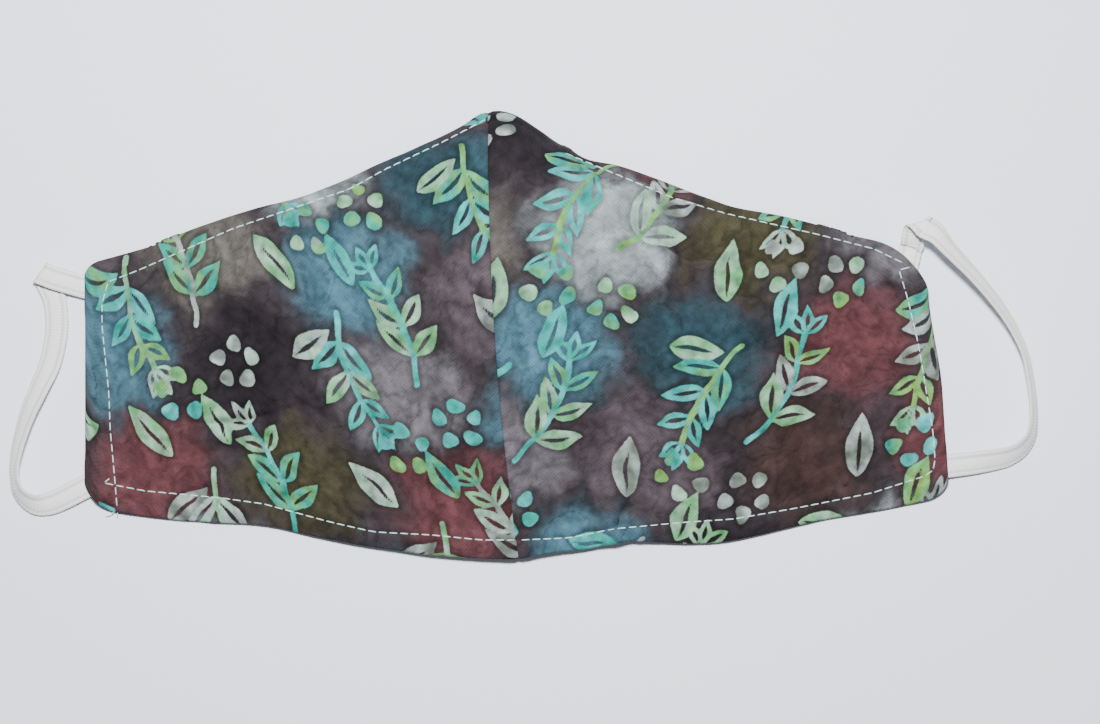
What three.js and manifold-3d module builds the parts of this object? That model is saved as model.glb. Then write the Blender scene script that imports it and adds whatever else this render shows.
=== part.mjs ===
// A fitted cloth face mask lying face up on a table.
// Two cotton panels are sewn together on a curved centre seam, so that the cloth stands up in a ridge over the
// wearer's nose. The hem all round is turned in and thicker than the cloth. A flat elastic ear loop is sewn into
// two pockets in each side hem, folds over itself just above the upper pocket, and lies on the table.
// Millimetres, +X to the photo's right, +Y towards the nose end, +Z up from the table.
import * as THREE from "three";
import { mergeVertices } from "three/addons/utils/BufferGeometryUtils.js";
import Module from "manifold-3d";

const wasm = await Module();
wasm.setup();

// Sizes of the mask as it lies
const SEAM_HEIGHT = 118.2; // foot of the seam to its top, seen from above
const RIDGE_HEIGHT = 25; // highest point of the cloth's underside, on the seam
const SEAM_LEAN = 7.7; // how far the seam's top lies left of its foot
const LEFT_WIDTH = 117; // foot of the seam to the left side hem
const RIGHT_WIDTH = 116; // foot of the seam to the right side hem
const LEFT_SLANT = 0; // how much nearer the seam each side hem is at its top
const RIGHT_SLANT = 7.5;

// Cloth
const CLOTH = 1.2; // two layers of cotton
const HEM = 2.0; // the same with the turned-in edge
const HEM_BAND = 6; // width of the turned-in edge
const HEM_FADE = 2.5; // over which the hem thins to the cloth
const SEAM_GAP = 0.3; // between the two panels' folded edges
const SETTLE = 0.9; // how far the cloth presses into the table where it lies flat
const PUCKER = 0.22; // height of the small ripples along a sewn hem
const PUCKER_PITCH = 9; // from one ripple to the next

// Elastic
const ELASTIC_WIDTH = 6.35;
const ELASTIC_THICK = 1.0;
const EDGE_ROUND = 0.3; // chamfer on the elastic's edges
const POCKET_DEPTH = 6.5; // of elastic held inside the hem
const POCKET_CLEARANCE = 0.3; // round the elastic in its pocket
const POCKET_WALL = 0.8; // cloth above and below the pocket
const POCKET_FADE = 5; // over which the lump at a pocket dies away

// Sections of the cloth from the seam (out 0) to the side hem (out 1).
// foot and top: where the section's lower and upper edges are, as shares of SEAM_HEIGHT above the seam's foot.
// crest: where it is highest, as a share of its own length. lift: how high that is, as a share of RIDGE_HEIGHT.
// footLift and topLift: how high its two edges stand, as shares of RIDGE_HEIGHT.
// roll: the angle, in degrees, through which the cloth rolls over from the crest to its top edge.
const LEFT_SECTIONS = [
  { out: 0.0, foot: 0.0, top: 1.0, crest: 0.86, lift: 1.0, footLift: 0.09, topLift: 0.34, roll: 84 },
  { out: 0.08, foot: 0.0, top: 0.958, crest: 0.86, lift: 0.93, footLift: 0.085, topLift: 0.3, roll: 82 },
  { out: 0.19, foot: 0.0, top: 0.911, crest: 0.85, lift: 0.82, footLift: 0.07, topLift: 0.24, roll: 80 },
  { out: 0.27, foot: 0.01, top: 0.88, crest: 0.84, lift: 0.74, footLift: 0.06, topLift: 0.2, roll: 79 },
  { out: 0.36, foot: 0.022, top: 0.841, crest: 0.83, lift: 0.65, footLift: 0.05, topLift: 0.16, roll: 78 },
  { out: 0.46, foot: 0.041, top: 0.807, crest: 0.82, lift: 0.56, footLift: 0.045, topLift: 0.12, roll: 77 },
  { out: 0.57, foot: 0.065, top: 0.783, crest: 0.8, lift: 0.45, footLift: 0.04, topLift: 0.08, roll: 75 },
  { out: 0.7, foot: 0.076, top: 0.749, crest: 0.77, lift: 0.3, footLift: 0.035, topLift: 0.05, roll: 68 },
  { out: 0.85, foot: 0.091, top: 0.706, crest: 0.7, lift: 0.12, footLift: 0.02, topLift: 0.02, roll: 55 },
  { out: 1.0, foot: 0.112, top: 0.668, crest: 0.6, lift: 0.0, footLift: 0.0, topLift: 0.0, roll: 45 },
];
const RIGHT_SECTIONS = [
  { out: 0.0, foot: 0.0, top: 1.0, crest: 0.86, lift: 1.0, footLift: 0.09, topLift: 0.34, roll: 84 },
  { out: 0.05, foot: 0.009, top: 0.99, crest: 0.855, lift: 0.96, footLift: 0.085, topLift: 0.3, roll: 100 },
  { out: 0.1, foot: 0.016, top: 0.96, crest: 0.855, lift: 0.92, footLift: 0.08, topLift: 0.27, roll: 106 },
  { out: 0.15, foot: 0.021, top: 0.926, crest: 0.86, lift: 0.86, footLift: 0.07, topLift: 0.25, roll: 96 },
  { out: 0.2, foot: 0.03, top: 0.905, crest: 0.85, lift: 0.79, footLift: 0.07, topLift: 0.22, roll: 76 },
  { out: 0.26, foot: 0.041, top: 0.889, crest: 0.84, lift: 0.71, footLift: 0.09, topLift: 0.19, roll: 70 },
  { out: 0.33, foot: 0.036, top: 0.864, crest: 0.83, lift: 0.63, footLift: 0.06, topLift: 0.16, roll: 68 },
  { out: 0.404, foot: 0.033, top: 0.838, crest: 0.82, lift: 0.56, footLift: 0.05, topLift: 0.13, roll: 66 },
  { out: 0.48, foot: 0.037, top: 0.811, crest: 0.81, lift: 0.49, footLift: 0.045, topLift: 0.1, roll: 65 },
  { out: 0.56, foot: 0.052, top: 0.785, crest: 0.8, lift: 0.41, footLift: 0.04, topLift: 0.08, roll: 65 },
  { out: 0.675, foot: 0.078, top: 0.768, crest: 0.78, lift: 0.29, footLift: 0.035, topLift: 0.05, roll: 62 },
  { out: 0.85, foot: 0.108, top: 0.73, crest: 0.7, lift: 0.11, footLift: 0.02, topLift: 0.02, roll: 55 },
  { out: 1.0, foot: 0.14, top: 0.699, crest: 0.6, lift: 0.0, footLift: 0.0, topLift: 0.0, roll: 45 },
];

// Soft folds in the cloth: each runs from (out, up) to (outEnd, upEnd), is wide millimetres across and stands
// rise millimetres above the cloth, or lies below it where rise is negative. up is a share of SEAM_HEIGHT.
const LEFT_FOLDS = [
  { out: 0.2, up: 0.86, outEnd: 0.27, upEnd: 0.66, wide: 5, rise: -1.1 },
  { out: 0.1, up: 0.9, outEnd: 0.16, upEnd: 0.62, wide: 8, rise: 0.9 },
  { out: 0.34, up: 0.78, outEnd: 0.42, upEnd: 0.5, wide: 8, rise: 1.0 },
  { out: 0.47, up: 0.74, outEnd: 0.55, upEnd: 0.45, wide: 7, rise: -0.9 },
  { out: 0.62, up: 0.66, outEnd: 0.8, upEnd: 0.36, wide: 9, rise: 0.8 },
  { out: 0.12, up: 0.42, outEnd: 0.3, upEnd: 0.2, wide: 9, rise: -0.8 },
  { out: 0.38, up: 0.3, outEnd: 0.62, upEnd: 0.16, wide: 8, rise: 0.7 },
];
const RIGHT_FOLDS = [
  { out: 0.16, up: 0.91, outEnd: 0.42, upEnd: 0.6, wide: 4.5, rise: -1.8 },
  { out: 0.11, up: 0.88, outEnd: 0.36, upEnd: 0.58, wide: 6, rise: 1.2 },
  { out: 0.3, up: 0.84, outEnd: 0.47, upEnd: 0.66, wide: 6, rise: 1.1 },
  { out: 0.42, up: 0.78, outEnd: 0.56, upEnd: 0.55, wide: 6, rise: -1.0 },
  { out: 0.6, up: 0.7, outEnd: 0.78, upEnd: 0.4, wide: 8, rise: 0.8 },
  { out: 0.24, up: 0.03, outEnd: 0.22, upEnd: 0.16, wide: 5, rise: 1.5 },
  { out: 0.3, up: 0.05, outEnd: 0.36, upEnd: 0.2, wide: 6, rise: -1.0 },
  { out: 0.5, up: 0.32, outEnd: 0.7, upEnd: 0.22, wide: 9, rise: -0.7 },
];

// Each panel: which way it runs from the seam, its corners' radii, and its two pockets for the elastic.
// A pocket's mouth is at up, a share of SEAM_HEIGHT, and inset from the side hem; heading is the way that the
// elastic leaves it, in degrees anticlockwise from +X.
const LEFT = {
  name: "panel_left",
  side: -1,
  width: LEFT_WIDTH,
  slant: LEFT_SLANT,
  topRadius: 4,
  footRadius: 9,
  sections: LEFT_SECTIONS,
  folds: LEFT_FOLDS,
  upperPocket: { up: 0.617, inset: 0, heading: 164.3 },
  lowerPocket: { up: 0.163, inset: 0.5, heading: 204 },
};
const RIGHT = {
  name: "panel_right",
  side: 1,
  width: RIGHT_WIDTH,
  slant: RIGHT_SLANT,
  topRadius: 14,
  footRadius: 6,
  sections: RIGHT_SECTIONS,
  folds: RIGHT_FOLDS,
  upperPocket: { up: 0.703, inset: 6.2, heading: 77 },
  lowerPocket: { up: 0.208, inset: 0, heading: 9 },
};

// Ear loops. reach: how far the point lies beyond the lower pocket's mouth, as a share of the loop's reach.
// drop: how far down it lies, as a share of the way from the upper pocket to the lower one.
// lift: height above lying on the table. tilt: how far the outer edge of the elastic is turned down, in degrees.
const LEFT_LOOP = {
  name: "ear_loop_left",
  panel: LEFT,
  reach: 19,
  creaseAngle: 54.8,
  foldRadius: 1.15,
  foldUp: false,
  rise: [
    { reach: 0.26, drop: -0.024, lift: 1.9, tilt: 0 },
    { reach: 0.44, drop: -0.043, lift: 2.5, tilt: 0 },
    { reach: 0.579, drop: -0.062, lift: 2.7, tilt: 0 },
  ],
  fall: [
    { reach: 0.476, drop: 0.05, lift: 0.35, tilt: 0 },
    { reach: 0.436, drop: 0.13, lift: 0.2, tilt: 4 },
    { reach: 0.43, drop: 0.2, lift: 0.1, tilt: 8 },
    { reach: 0.45, drop: 0.27, lift: 0.1, tilt: 10 },
    { reach: 0.525, drop: 0.388, lift: 0.1, tilt: 14 },
    { reach: 0.672, drop: 0.511, lift: 0.1, tilt: 28 },
    { reach: 0.82, drop: 0.632, lift: 0.1, tilt: 38 },
    { reach: 0.93, drop: 0.756, lift: 0.1, tilt: 48 },
    { reach: 1.0, drop: 0.877, lift: 0.1, tilt: 57 },
    { reach: 1.0, drop: 0.966, lift: 0.1, tilt: 60 },
    { reach: 0.93, drop: 1.04, lift: 0.1, tilt: 50 },
    { reach: 0.74, drop: 1.091, lift: 0.1, tilt: 30 },
    { reach: 0.54, drop: 1.09, lift: 0.2, tilt: 14 },
    { reach: 0.31, drop: 1.057, lift: 0.7, tilt: 5 },
  ],
};
const RIGHT_LOOP = {
  name: "ear_loop_right",
  panel: RIGHT,
  reach: 22.8,
  creaseAngle: 18.4,
  foldRadius: 1.3,
  foldUp: true,
  rise: [
    { reach: -0.41, drop: -0.045, lift: 3.0, tilt: 0 },
    { reach: -0.4, drop: -0.09, lift: 5.6, tilt: 0 },
    { reach: -0.375, drop: -0.13, lift: 7.2, tilt: 0 },
  ],
  fall: [
    { reach: -0.119, drop: -0.103, lift: 6.2, tilt: 18 },
    { reach: 0.053, drop: -0.027, lift: 4.4, tilt: 36 },
    { reach: 0.322, drop: 0.093, lift: 2.9, tilt: 46 },
    { reach: 0.564, drop: 0.201, lift: 1.7, tilt: 54 },
    { reach: 0.727, drop: 0.294, lift: 0.9, tilt: 62 },
    { reach: 0.837, drop: 0.397, lift: 0.4, tilt: 65 },
    { reach: 0.91, drop: 0.495, lift: 0.2, tilt: 66 },
    { reach: 0.965, drop: 0.603, lift: 0.1, tilt: 66 },
    { reach: 0.996, drop: 0.697, lift: 0.1, tilt: 65 },
    { reach: 1.0, drop: 0.797, lift: 0.1, tilt: 62 },
    { reach: 0.965, drop: 0.866, lift: 0.1, tilt: 54 },
    { reach: 0.87, drop: 0.918, lift: 0.1, tilt: 44 },
    { reach: 0.74, drop: 0.95, lift: 0.1, tilt: 34 },
    { reach: 0.6, drop: 0.966, lift: 0.2, tilt: 26 },
    { reach: 0.3, drop: 0.985, lift: 0.7, tilt: 12 },
  ],
};

// Steps of the faceted surfaces
const BODY_COLUMNS = 22;
const CORNER_COLUMNS = 7;
const RISE_ROWS = 14;
const ROLL_ROWS = 10;
const STEPS_PER_ROW = 3;
const FOLD_STEPS = 8;

const radians = THREE.MathUtils.degToRad;
const { clamp, lerp, smoothstep } = THREE.MathUtils;

// The value of one column of a table at a place between its rows, on a smooth curve through them.
function fromTable(rows, key, at, by = "out") {
  const last = rows.length - 1;
  let i = 0;
  while (i < last - 1 && at > rows[i + 1][by]) i += 1;
  const slope = (k) => {
    const before = rows[Math.max(k - 1, 0)];
    const after = rows[Math.min(k + 1, last)];
    return (after[key] - before[key]) / (after[by] - before[by]);
  };
  const span = rows[i + 1][by] - rows[i][by];
  const t = clamp((at - rows[i][by]) / span, 0, 1);
  return (
    rows[i][key] * (1 + 2 * t) * (1 - t) ** 2 +
    rows[i + 1][key] * (3 - 2 * t) * t ** 2 +
    slope(i) * span * t * (1 - t) ** 2 +
    slope(i + 1) * span * (t - 1) * t ** 2
  );
}

// The seam's place across the mask, at a height up it.
function seamX(y) {
  const down = clamp(1 - y / SEAM_HEIGHT, 0, 1.1);
  return -SEAM_LEAN * (1 - down ** 2.2);
}

// The side hem's place across the mask.
function sideX(panel, y) {
  return panel.side * (panel.width - panel.slant * clamp(y / SEAM_HEIGHT - 0.15, 0, 1));
}

// How far a rounded corner draws the cloth's edge in, at a distance from the side hem.
function cornerDraw(distance, radius) {
  const into = clamp(radius - distance, 0, radius);
  return radius - Math.sqrt(radius ** 2 - into ** 2);
}

// The mouth of a pocket, on the table under the side hem.
function pocketMouth(panel, pocket) {
  const y = pocket.up * SEAM_HEIGHT;
  return new THREE.Vector2(sideX(panel, y) - panel.side * pocket.inset, y);
}

function headingOf(degrees) {
  return new THREE.Vector2(Math.cos(radians(degrees)), Math.sin(radians(degrees)));
}

// How much of the full lump a pocket makes at a point of the cloth, from 0 to 1.
function pocketLump(panel, pocket, x, y) {
  const out = headingOf(pocket.heading);
  const from = new THREE.Vector2(x, y).sub(pocketMouth(panel, pocket));
  const along = from.dot(out);
  const across = Math.abs(from.cross(out));
  const past = Math.max(across - ELASTIC_WIDTH / 2 - POCKET_CLEARANCE - 0.5, -along - POCKET_DEPTH - 1, 0);
  return 1 - smoothstep(past, 0, POCKET_FADE);
}

// Thickness of the wall at a point: cloth, thicker in the hem and most at the pockets.
function wallAt(panel, x, y, edgeDistance) {
  const hem = lerp(CLOTH, HEM, 1 - smoothstep(edgeDistance, HEM_BAND, HEM_BAND + HEM_FADE));
  const full = ELASTIC_THICK + 2 * (POCKET_CLEARANCE + POCKET_WALL);
  const lump = Math.max(
    pocketLump(panel, panel.upperPocket, x, y),
    pocketLump(panel, panel.lowerPocket, x, y),
  );
  return lerp(hem, Math.max(full, hem), lump);
}

// Height that the folds add at a point of the panel.
function foldRise(panel, out, y) {
  let rise = 0;
  for (const f of panel.folds) {
    const start = new THREE.Vector2(f.out * panel.width, f.up * SEAM_HEIGHT);
    const run = new THREE.Vector2(f.outEnd * panel.width, f.upEnd * SEAM_HEIGHT).sub(start);
    const from = new THREE.Vector2(out * panel.width, y).sub(start);
    const along = from.dot(run) / run.lengthSq();
    const across = from.cross(run) / run.length();
    const ends = smoothstep(along, -0.25, 0.25) * (1 - smoothstep(along, 0.75, 1.25));
    rise += f.rise * ends * Math.exp(-((across / f.wide) ** 2) * 2);
  }
  return rise * smoothstep(out, 0, 0.06) * (1 - smoothstep(out, 0.85, 0.97));
}

// A point of the cloth's underside. along runs from 0 at the foot over 1 at the crest to 2 at the top edge.
function underside(panel, out, along) {
  const at = (key) => fromTable(panel.sections, key, out);
  const fromSide = (1 - out) * panel.width;
  const roll = radians(at("roll"));
  const quarter = Math.min(roll, Math.PI / 2);
  const foot = at("foot") * SEAM_HEIGHT + cornerDraw(fromSide, panel.footRadius);
  const top = at("top") * SEAM_HEIGHT - cornerDraw(fromSide, panel.topRadius) - HEM * Math.sin(quarter) ** 2 * at("lift");
  const crest = lerp(foot, top, at("crest"));
  const footZ = at("footLift") * RIDGE_HEIGHT;
  const topZ = at("topLift") * RIDGE_HEIGHT;
  const crestZ = at("lift") * RIDGE_HEIGHT;
  let y;
  let z;
  if (along <= 1) {
    y = lerp(foot, crest, along);
    z = lerp(footZ, crestZ, Math.sin((along * Math.PI) / 2));
  } else {
    const turn = (along - 1) * roll;
    y = lerp(crest, top, Math.sin(turn) / Math.sin(quarter));
    z = lerp(crestZ, topZ, (1 - Math.cos(turn)) / (1 - Math.cos(roll)));
  }
  const edge = Math.min(y - foot, top - y);
  const ripple = Math.exp(-Math.max(edge, 0) / HEM_BAND) * smoothstep(out, 0.05, 0.15) * (1 - smoothstep(out, 0.8, 0.9));
  const x = lerp(seamX(y), sideX(panel, y), out);
  z += foldRise(panel, out, y) + PUCKER * ripple * Math.cos((x / PUCKER_PITCH) * 2 * Math.PI);
  return new THREE.Vector3(x, y, Math.max(z - SETTLE * smoothstep(out, 0, 0.5), 0));
}

// The underside's upward normal, from points a little way off in each direction.
function normalAt(panel, out, along) {
  const step = 0.004;
  const west = underside(panel, Math.max(out - step, 0), along);
  const east = underside(panel, Math.min(out + step, 1), along);
  const south = underside(panel, out, Math.max(along - step, 0));
  const north = underside(panel, out, Math.min(along + step, 2));
  const normal = east.sub(west).cross(north.sub(south)).multiplyScalar(panel.side).normalize();
  if (out === 0) normal.setX(0).normalize();
  return normal;
}

// A closed geometry from rings of points, each ring joined to the next and the first and last ones filled.
function loft(rings, cap) {
  const count = rings[0].length;
  const points = rings.flat();
  const faces = [];
  for (let r = 0; r + 1 < rings.length; r += 1) {
    for (let i = 0; i < count; i += 1) {
      const a = r * count + i;
      const b = r * count + ((i + 1) % count);
      faces.push(a, b, b + count, a, b + count, a + count);
    }
  }
  for (const [i, j, k] of cap) {
    const end = (rings.length - 1) * count;
    faces.push(k, j, i, end + i, end + j, end + k);
  }
  const geometry = new THREE.BufferGeometry();
  geometry.setAttribute("position", new THREE.Float32BufferAttribute(points.flatMap((p) => p.toArray()), 3));
  geometry.setIndex(faces);
  return geometry;
}

// The stations across a panel, closer together where the corners are round.
function columnStations(panel) {
  const radius = Math.max(panel.topRadius, panel.footRadius);
  const body = 1 - radius / panel.width;
  const stations = [];
  for (let i = 0; i < BODY_COLUMNS; i += 1) stations.push((body * i) / BODY_COLUMNS);
  for (let i = 0; i <= CORNER_COLUMNS; i += 1) {
    stations.push(body + (1 - body) * Math.sin(((i / CORNER_COLUMNS) * Math.PI) / 2));
  }
  return stations;
}

function rowStations() {
  const stations = [];
  for (let i = 0; i < RISE_ROWS; i += 1) stations.push(i / RISE_ROWS);
  for (let i = 0; i <= ROLL_ROWS; i += 1) stations.push(1 + i / ROLL_ROWS);
  return stations;
}

// One panel as a closed wall: each ring goes up the underside and back down the outside of one column.
function panelGeometry(panel) {
  const rows = rowStations();
  const rings = columnStations(panel).map((out) => {
    const under = rows.map((along) => underside(panel, out, along));
    const over = rows.map((along, i) => {
      const p = under[i];
      const fromEnds = Math.min(p.distanceTo(under[0]), p.distanceTo(under[rows.length - 1]));
      const edgeDistance = Math.min(fromEnds, (1 - out) * panel.width);
      return p.clone().addScaledVector(normalAt(panel, out, along), wallAt(panel, p.x, p.y, edgeDistance));
    });
    if (out === 0) {
      for (const p of [...under, ...over]) p.x = seamX(p.y) + (panel.side * SEAM_GAP) / 2;
    }
    return [...under, ...over.reverse()];
  });
  const last = rows.length - 1;
  const cap = [];
  for (let i = 0; i < last; i += 1) {
    const below = [i, i + 1];
    const above = [2 * last + 1 - i, 2 * last - i];
    cap.push([below[0], below[1], above[1]], [below[0], above[1], above[0]]);
  }
  return loft(panel.side > 0 ? rings : rings.reverse(), cap);
}

// The elastic's section: a flat band with chamfered edges, as (across, through) pairs.
function bandSection(width, thick, round) {
  const w = width / 2;
  const t = thick / 2;
  return [
    [w - round, -t],
    [w, -t + round],
    [w, t - round],
    [w - round, t],
    [round - w, t],
    [-w, t - round],
    [-w, round - t],
    [round - w, -t],
  ];
}

// Where the elastic's middle lies for a row of its table.
function loopPoint(loop, row) {
  const upper = pocketMouth(loop.panel, loop.panel.upperPocket);
  const lower = pocketMouth(loop.panel, loop.panel.lowerPocket);
  const lying = ELASTIC_THICK / 2 + (ELASTIC_WIDTH / 2) * Math.sin(radians(Math.abs(row.tilt)));
  return new THREE.Vector3(
    lower.x + loop.panel.side * loop.reach * row.reach,
    lerp(upper.y, lower.y, row.drop),
    lying + row.lift,
  );
}

const POCKET_HEIGHT = POCKET_WALL + POCKET_CLEARANCE + ELASTIC_THICK / 2;

// The elastic's end and mouth in a pocket, as points of its middle.
function pocketPoints(panel, pocket) {
  const mouth = pocketMouth(panel, pocket);
  const end = mouth.clone().addScaledVector(headingOf(pocket.heading), -POCKET_DEPTH);
  return [end, mouth].map((p) => new THREE.Vector3(p.x, p.y, POCKET_HEIGHT));
}

// Stations along one run of the elastic: its middle, the way across it and the way through it.
function runStations(points, tilts, handed) {
  const curve = new THREE.CatmullRomCurve3(points, false, "catmullrom", 0.5);
  const steps = (points.length - 1) * STEPS_PER_ROW;
  const stations = [];
  for (let i = 0; i <= steps; i += 1) {
    const at = i / steps;
    const tangent = curve.getTangent(at);
    const row = Math.min(Math.floor(i / STEPS_PER_ROW), points.length - 2);
    const tilt = radians(lerp(tilts[row], tilts[row + 1], i / STEPS_PER_ROW - row));
    const level = new THREE.Vector3(-tangent.y, tangent.x, 0).normalize().multiplyScalar(handed);
    const across = level.multiplyScalar(Math.cos(tilt)).setZ(-Math.sin(tilt));
    across.addScaledVector(tangent, -across.dot(tangent)).normalize();
    stations.push({ middle: curve.getPoint(at), across, through: tangent.clone().cross(across) });
  }
  return stations;
}

// The stations of a flat fold: the band turns half way round a crease that lies across it at an angle.
function foldStations(loop, start, along, across) {
  const crease = new THREE.Vector3(headingOf(loop.creaseAngle).x, headingOf(loop.creaseAngle).y, 0);
  const onward = new THREE.Vector3(-crease.y, crease.x, 0);
  const rise = new THREE.Vector3(0, 0, loop.foldUp ? 1 : -1);
  const slide = (loop.foldRadius * along.dot(crease)) / along.dot(onward);
  const stations = [];
  for (let i = 1; i <= FOLD_STEPS; i += 1) {
    const turn = (i / FOLD_STEPS) * Math.PI;
    const middle = start
      .clone()
      .addScaledVector(crease, slide * turn)
      .addScaledVector(onward, loop.foldRadius * Math.sin(turn))
      .addScaledVector(rise, loop.foldRadius * (1 - Math.cos(turn)));
    const turned = (v) =>
      crease
        .clone()
        .multiplyScalar(v.dot(crease))
        .addScaledVector(onward, v.dot(onward) * Math.cos(turn))
        .addScaledVector(rise, v.dot(onward) * Math.sin(turn));
    const side = turned(across);
    stations.push({ middle, across: side, through: turned(along).cross(side) });
  }
  return stations;
}

// One ear loop: out of the upper pocket, over its fold, down the table and into the lower pocket.
function loopGeometry(loop) {
  const { panel } = loop;
  const handed = -panel.side;
  const upper = pocketPoints(panel, panel.upperPocket);
  const lower = pocketPoints(panel, panel.lowerPocket).reverse();
  const risePoints = [...upper, ...loop.rise.map((row) => loopPoint(loop, row))];
  const rise = runStations(risePoints, risePoints.map(() => 0), handed);
  const start = rise[rise.length - 1];
  const level = risePoints[risePoints.length - 1].clone().sub(risePoints[risePoints.length - 2]).setZ(0).normalize();
  const side = new THREE.Vector3(-level.y, level.x, 0).multiplyScalar(handed);
  const fold = foldStations(loop, start.middle, level, side);
  const turned = fold[fold.length - 1].middle;
  const fallPoints = [turned, ...loop.fall.map((row) => loopPoint(loop, row)), ...lower];
  const tilts = [0, ...loop.fall.map((row) => row.tilt), 0, 0];
  const fall = runStations(fallPoints, tilts, -handed).slice(1);
  const section = bandSection(ELASTIC_WIDTH, ELASTIC_THICK, EDGE_ROUND);
  const rings = [...rise, ...fold, ...fall].map((s) =>
    section.map(([a, t]) => s.middle.clone().addScaledVector(s.across, a).addScaledVector(s.through, t)),
  );
  const cap = [];
  for (let i = 1; i + 1 < section.length; i += 1) cap.push([0, i, i + 1]);
  return loft(rings, cap);
}

// A closed geometry as a solid that can be cut.
function solidOf(geometry) {
  const merged = mergeVertices(geometry, 1e-3);
  return new wasm.Manifold(
    new wasm.Mesh({
      numProp: 3,
      vertProperties: merged.attributes.position.array,
      triVerts: new Uint32Array(merged.index.array),
    }),
  );
}

function geometryOf(solid) {
  const mesh = solid.getMesh();
  const geometry = new THREE.BufferGeometry();
  geometry.setAttribute("position", new THREE.BufferAttribute(mesh.vertProperties, 3));
  geometry.setIndex(new THREE.BufferAttribute(mesh.triVerts, 1));
  return geometry;
}

// The space that a pocket leaves for the elastic: a slot from its end out past the hem.
function pocketSlot(panel, pocket) {
  const depth = POCKET_DEPTH + POCKET_CLEARANCE;
  const past = panel.topRadius + HEM;
  const slot = new THREE.BoxGeometry(
    depth + past,
    ELASTIC_WIDTH + 2 * POCKET_CLEARANCE,
    ELASTIC_THICK + 2 * POCKET_CLEARANCE,
  );
  slot.deleteAttribute("normal");
  slot.deleteAttribute("uv");
  slot.translate((past - depth) / 2, 0, 0);
  slot.rotateZ(radians(pocket.heading));
  const mouth = pocketMouth(panel, pocket);
  slot.translate(mouth.x, mouth.y, POCKET_HEIGHT);
  return solidOf(slot);
}

const cotton = new THREE.MeshStandardMaterial({ color: 0x4f464b, roughness: 0.9, metalness: 0 });
const elastic = new THREE.MeshStandardMaterial({ color: 0xd9dcd6, roughness: 0.8, metalness: 0 });

function clothPanel(panel) {
  const wall = solidOf(panelGeometry(panel));
  const upper = pocketSlot(panel, panel.upperPocket);
  const lower = pocketSlot(panel, panel.lowerPocket);
  const mesh = new THREE.Mesh(geometryOf(wall.subtract(upper).subtract(lower)), cotton);
  mesh.name = panel.name;
  return mesh;
}

function earLoop(loop) {
  const mesh = new THREE.Mesh(loopGeometry(loop), elastic);
  mesh.name = loop.name;
  return mesh;
}

// The mask stands on the table with the middle of its outline over the origin.
const mask = new THREE.Group();
mask.add(clothPanel(LEFT), clothPanel(RIGHT), earLoop(LEFT_LOOP), earLoop(RIGHT_LOOP));
const outline = new THREE.Box3().setFromObject(mask);
const middle = outline.getCenter(new THREE.Vector3());
mask.position.set(-middle.x, -middle.y, -outline.min.z);

export default mask;
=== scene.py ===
"""A fitted face mask of batik-dyed cotton with flat elastic ear loops, lying face up on a pale table.

Each panel is a fine grid laid over the mask's shape and given a wall. The motifs and the ground dye are
repeats in millimetres of flat cloth. Only the stitch lines and the creases are set out in photo pixels, which
are 3.7 to the millimetre at the table.
"""

import math

import bpy
import numpy as np
from mathutils import Matrix, Vector, noise


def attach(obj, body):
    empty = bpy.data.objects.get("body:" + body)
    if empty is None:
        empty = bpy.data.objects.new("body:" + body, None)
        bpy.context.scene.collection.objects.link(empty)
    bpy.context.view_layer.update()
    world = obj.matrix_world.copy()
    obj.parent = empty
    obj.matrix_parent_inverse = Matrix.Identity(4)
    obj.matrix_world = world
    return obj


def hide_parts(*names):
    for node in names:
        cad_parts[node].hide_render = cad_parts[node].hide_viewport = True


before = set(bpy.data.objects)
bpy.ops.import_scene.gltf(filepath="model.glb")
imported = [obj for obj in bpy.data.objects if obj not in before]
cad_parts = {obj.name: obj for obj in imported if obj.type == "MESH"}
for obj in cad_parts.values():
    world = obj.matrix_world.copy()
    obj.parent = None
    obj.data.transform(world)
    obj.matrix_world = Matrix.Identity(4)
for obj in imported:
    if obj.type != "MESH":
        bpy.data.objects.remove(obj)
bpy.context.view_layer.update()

bl_info = {
    "name": "Fitted Cloth Face Mask",
    "version": (1, 0, 0),
    "blender": (4, 5, 0),
    "location": "View3D > Sidebar > Face Mask",
    "description": "Builds a batik cotton face mask with topstitched hems and knitted elastic ear loops",
    "category": "Object",
}

MM = 0.001

# Sizes of the mask as it lies, in millimetres from the foot of its seam
SEAM_HEIGHT = 118.2
RIDGE_HEIGHT = 25.0
SEAM_LEAN = 7.7
CLOTH = 1.2
HEM = 2.0
TOP_STRETCH = 1.3
FOOT_HITCH = 0.9
SIDE_DRAW = 0.28
SEAM_BEND = 2.2
HEM_BAND = 6.0
HEM_FADE = 2.5
SETTLE = 0.9
ELASTIC_WIDTH = 6.35
ELASTIC_THICK = 1.0
POCKET_DEPTH = 6.5
POCKET_CLEARANCE = 0.3
POCKET_WALL = 0.8
POCKET_FADE = 5.0
POCKET_HEIGHT = POCKET_WALL + POCKET_CLEARANCE + ELASTIC_THICK / 2

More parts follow.
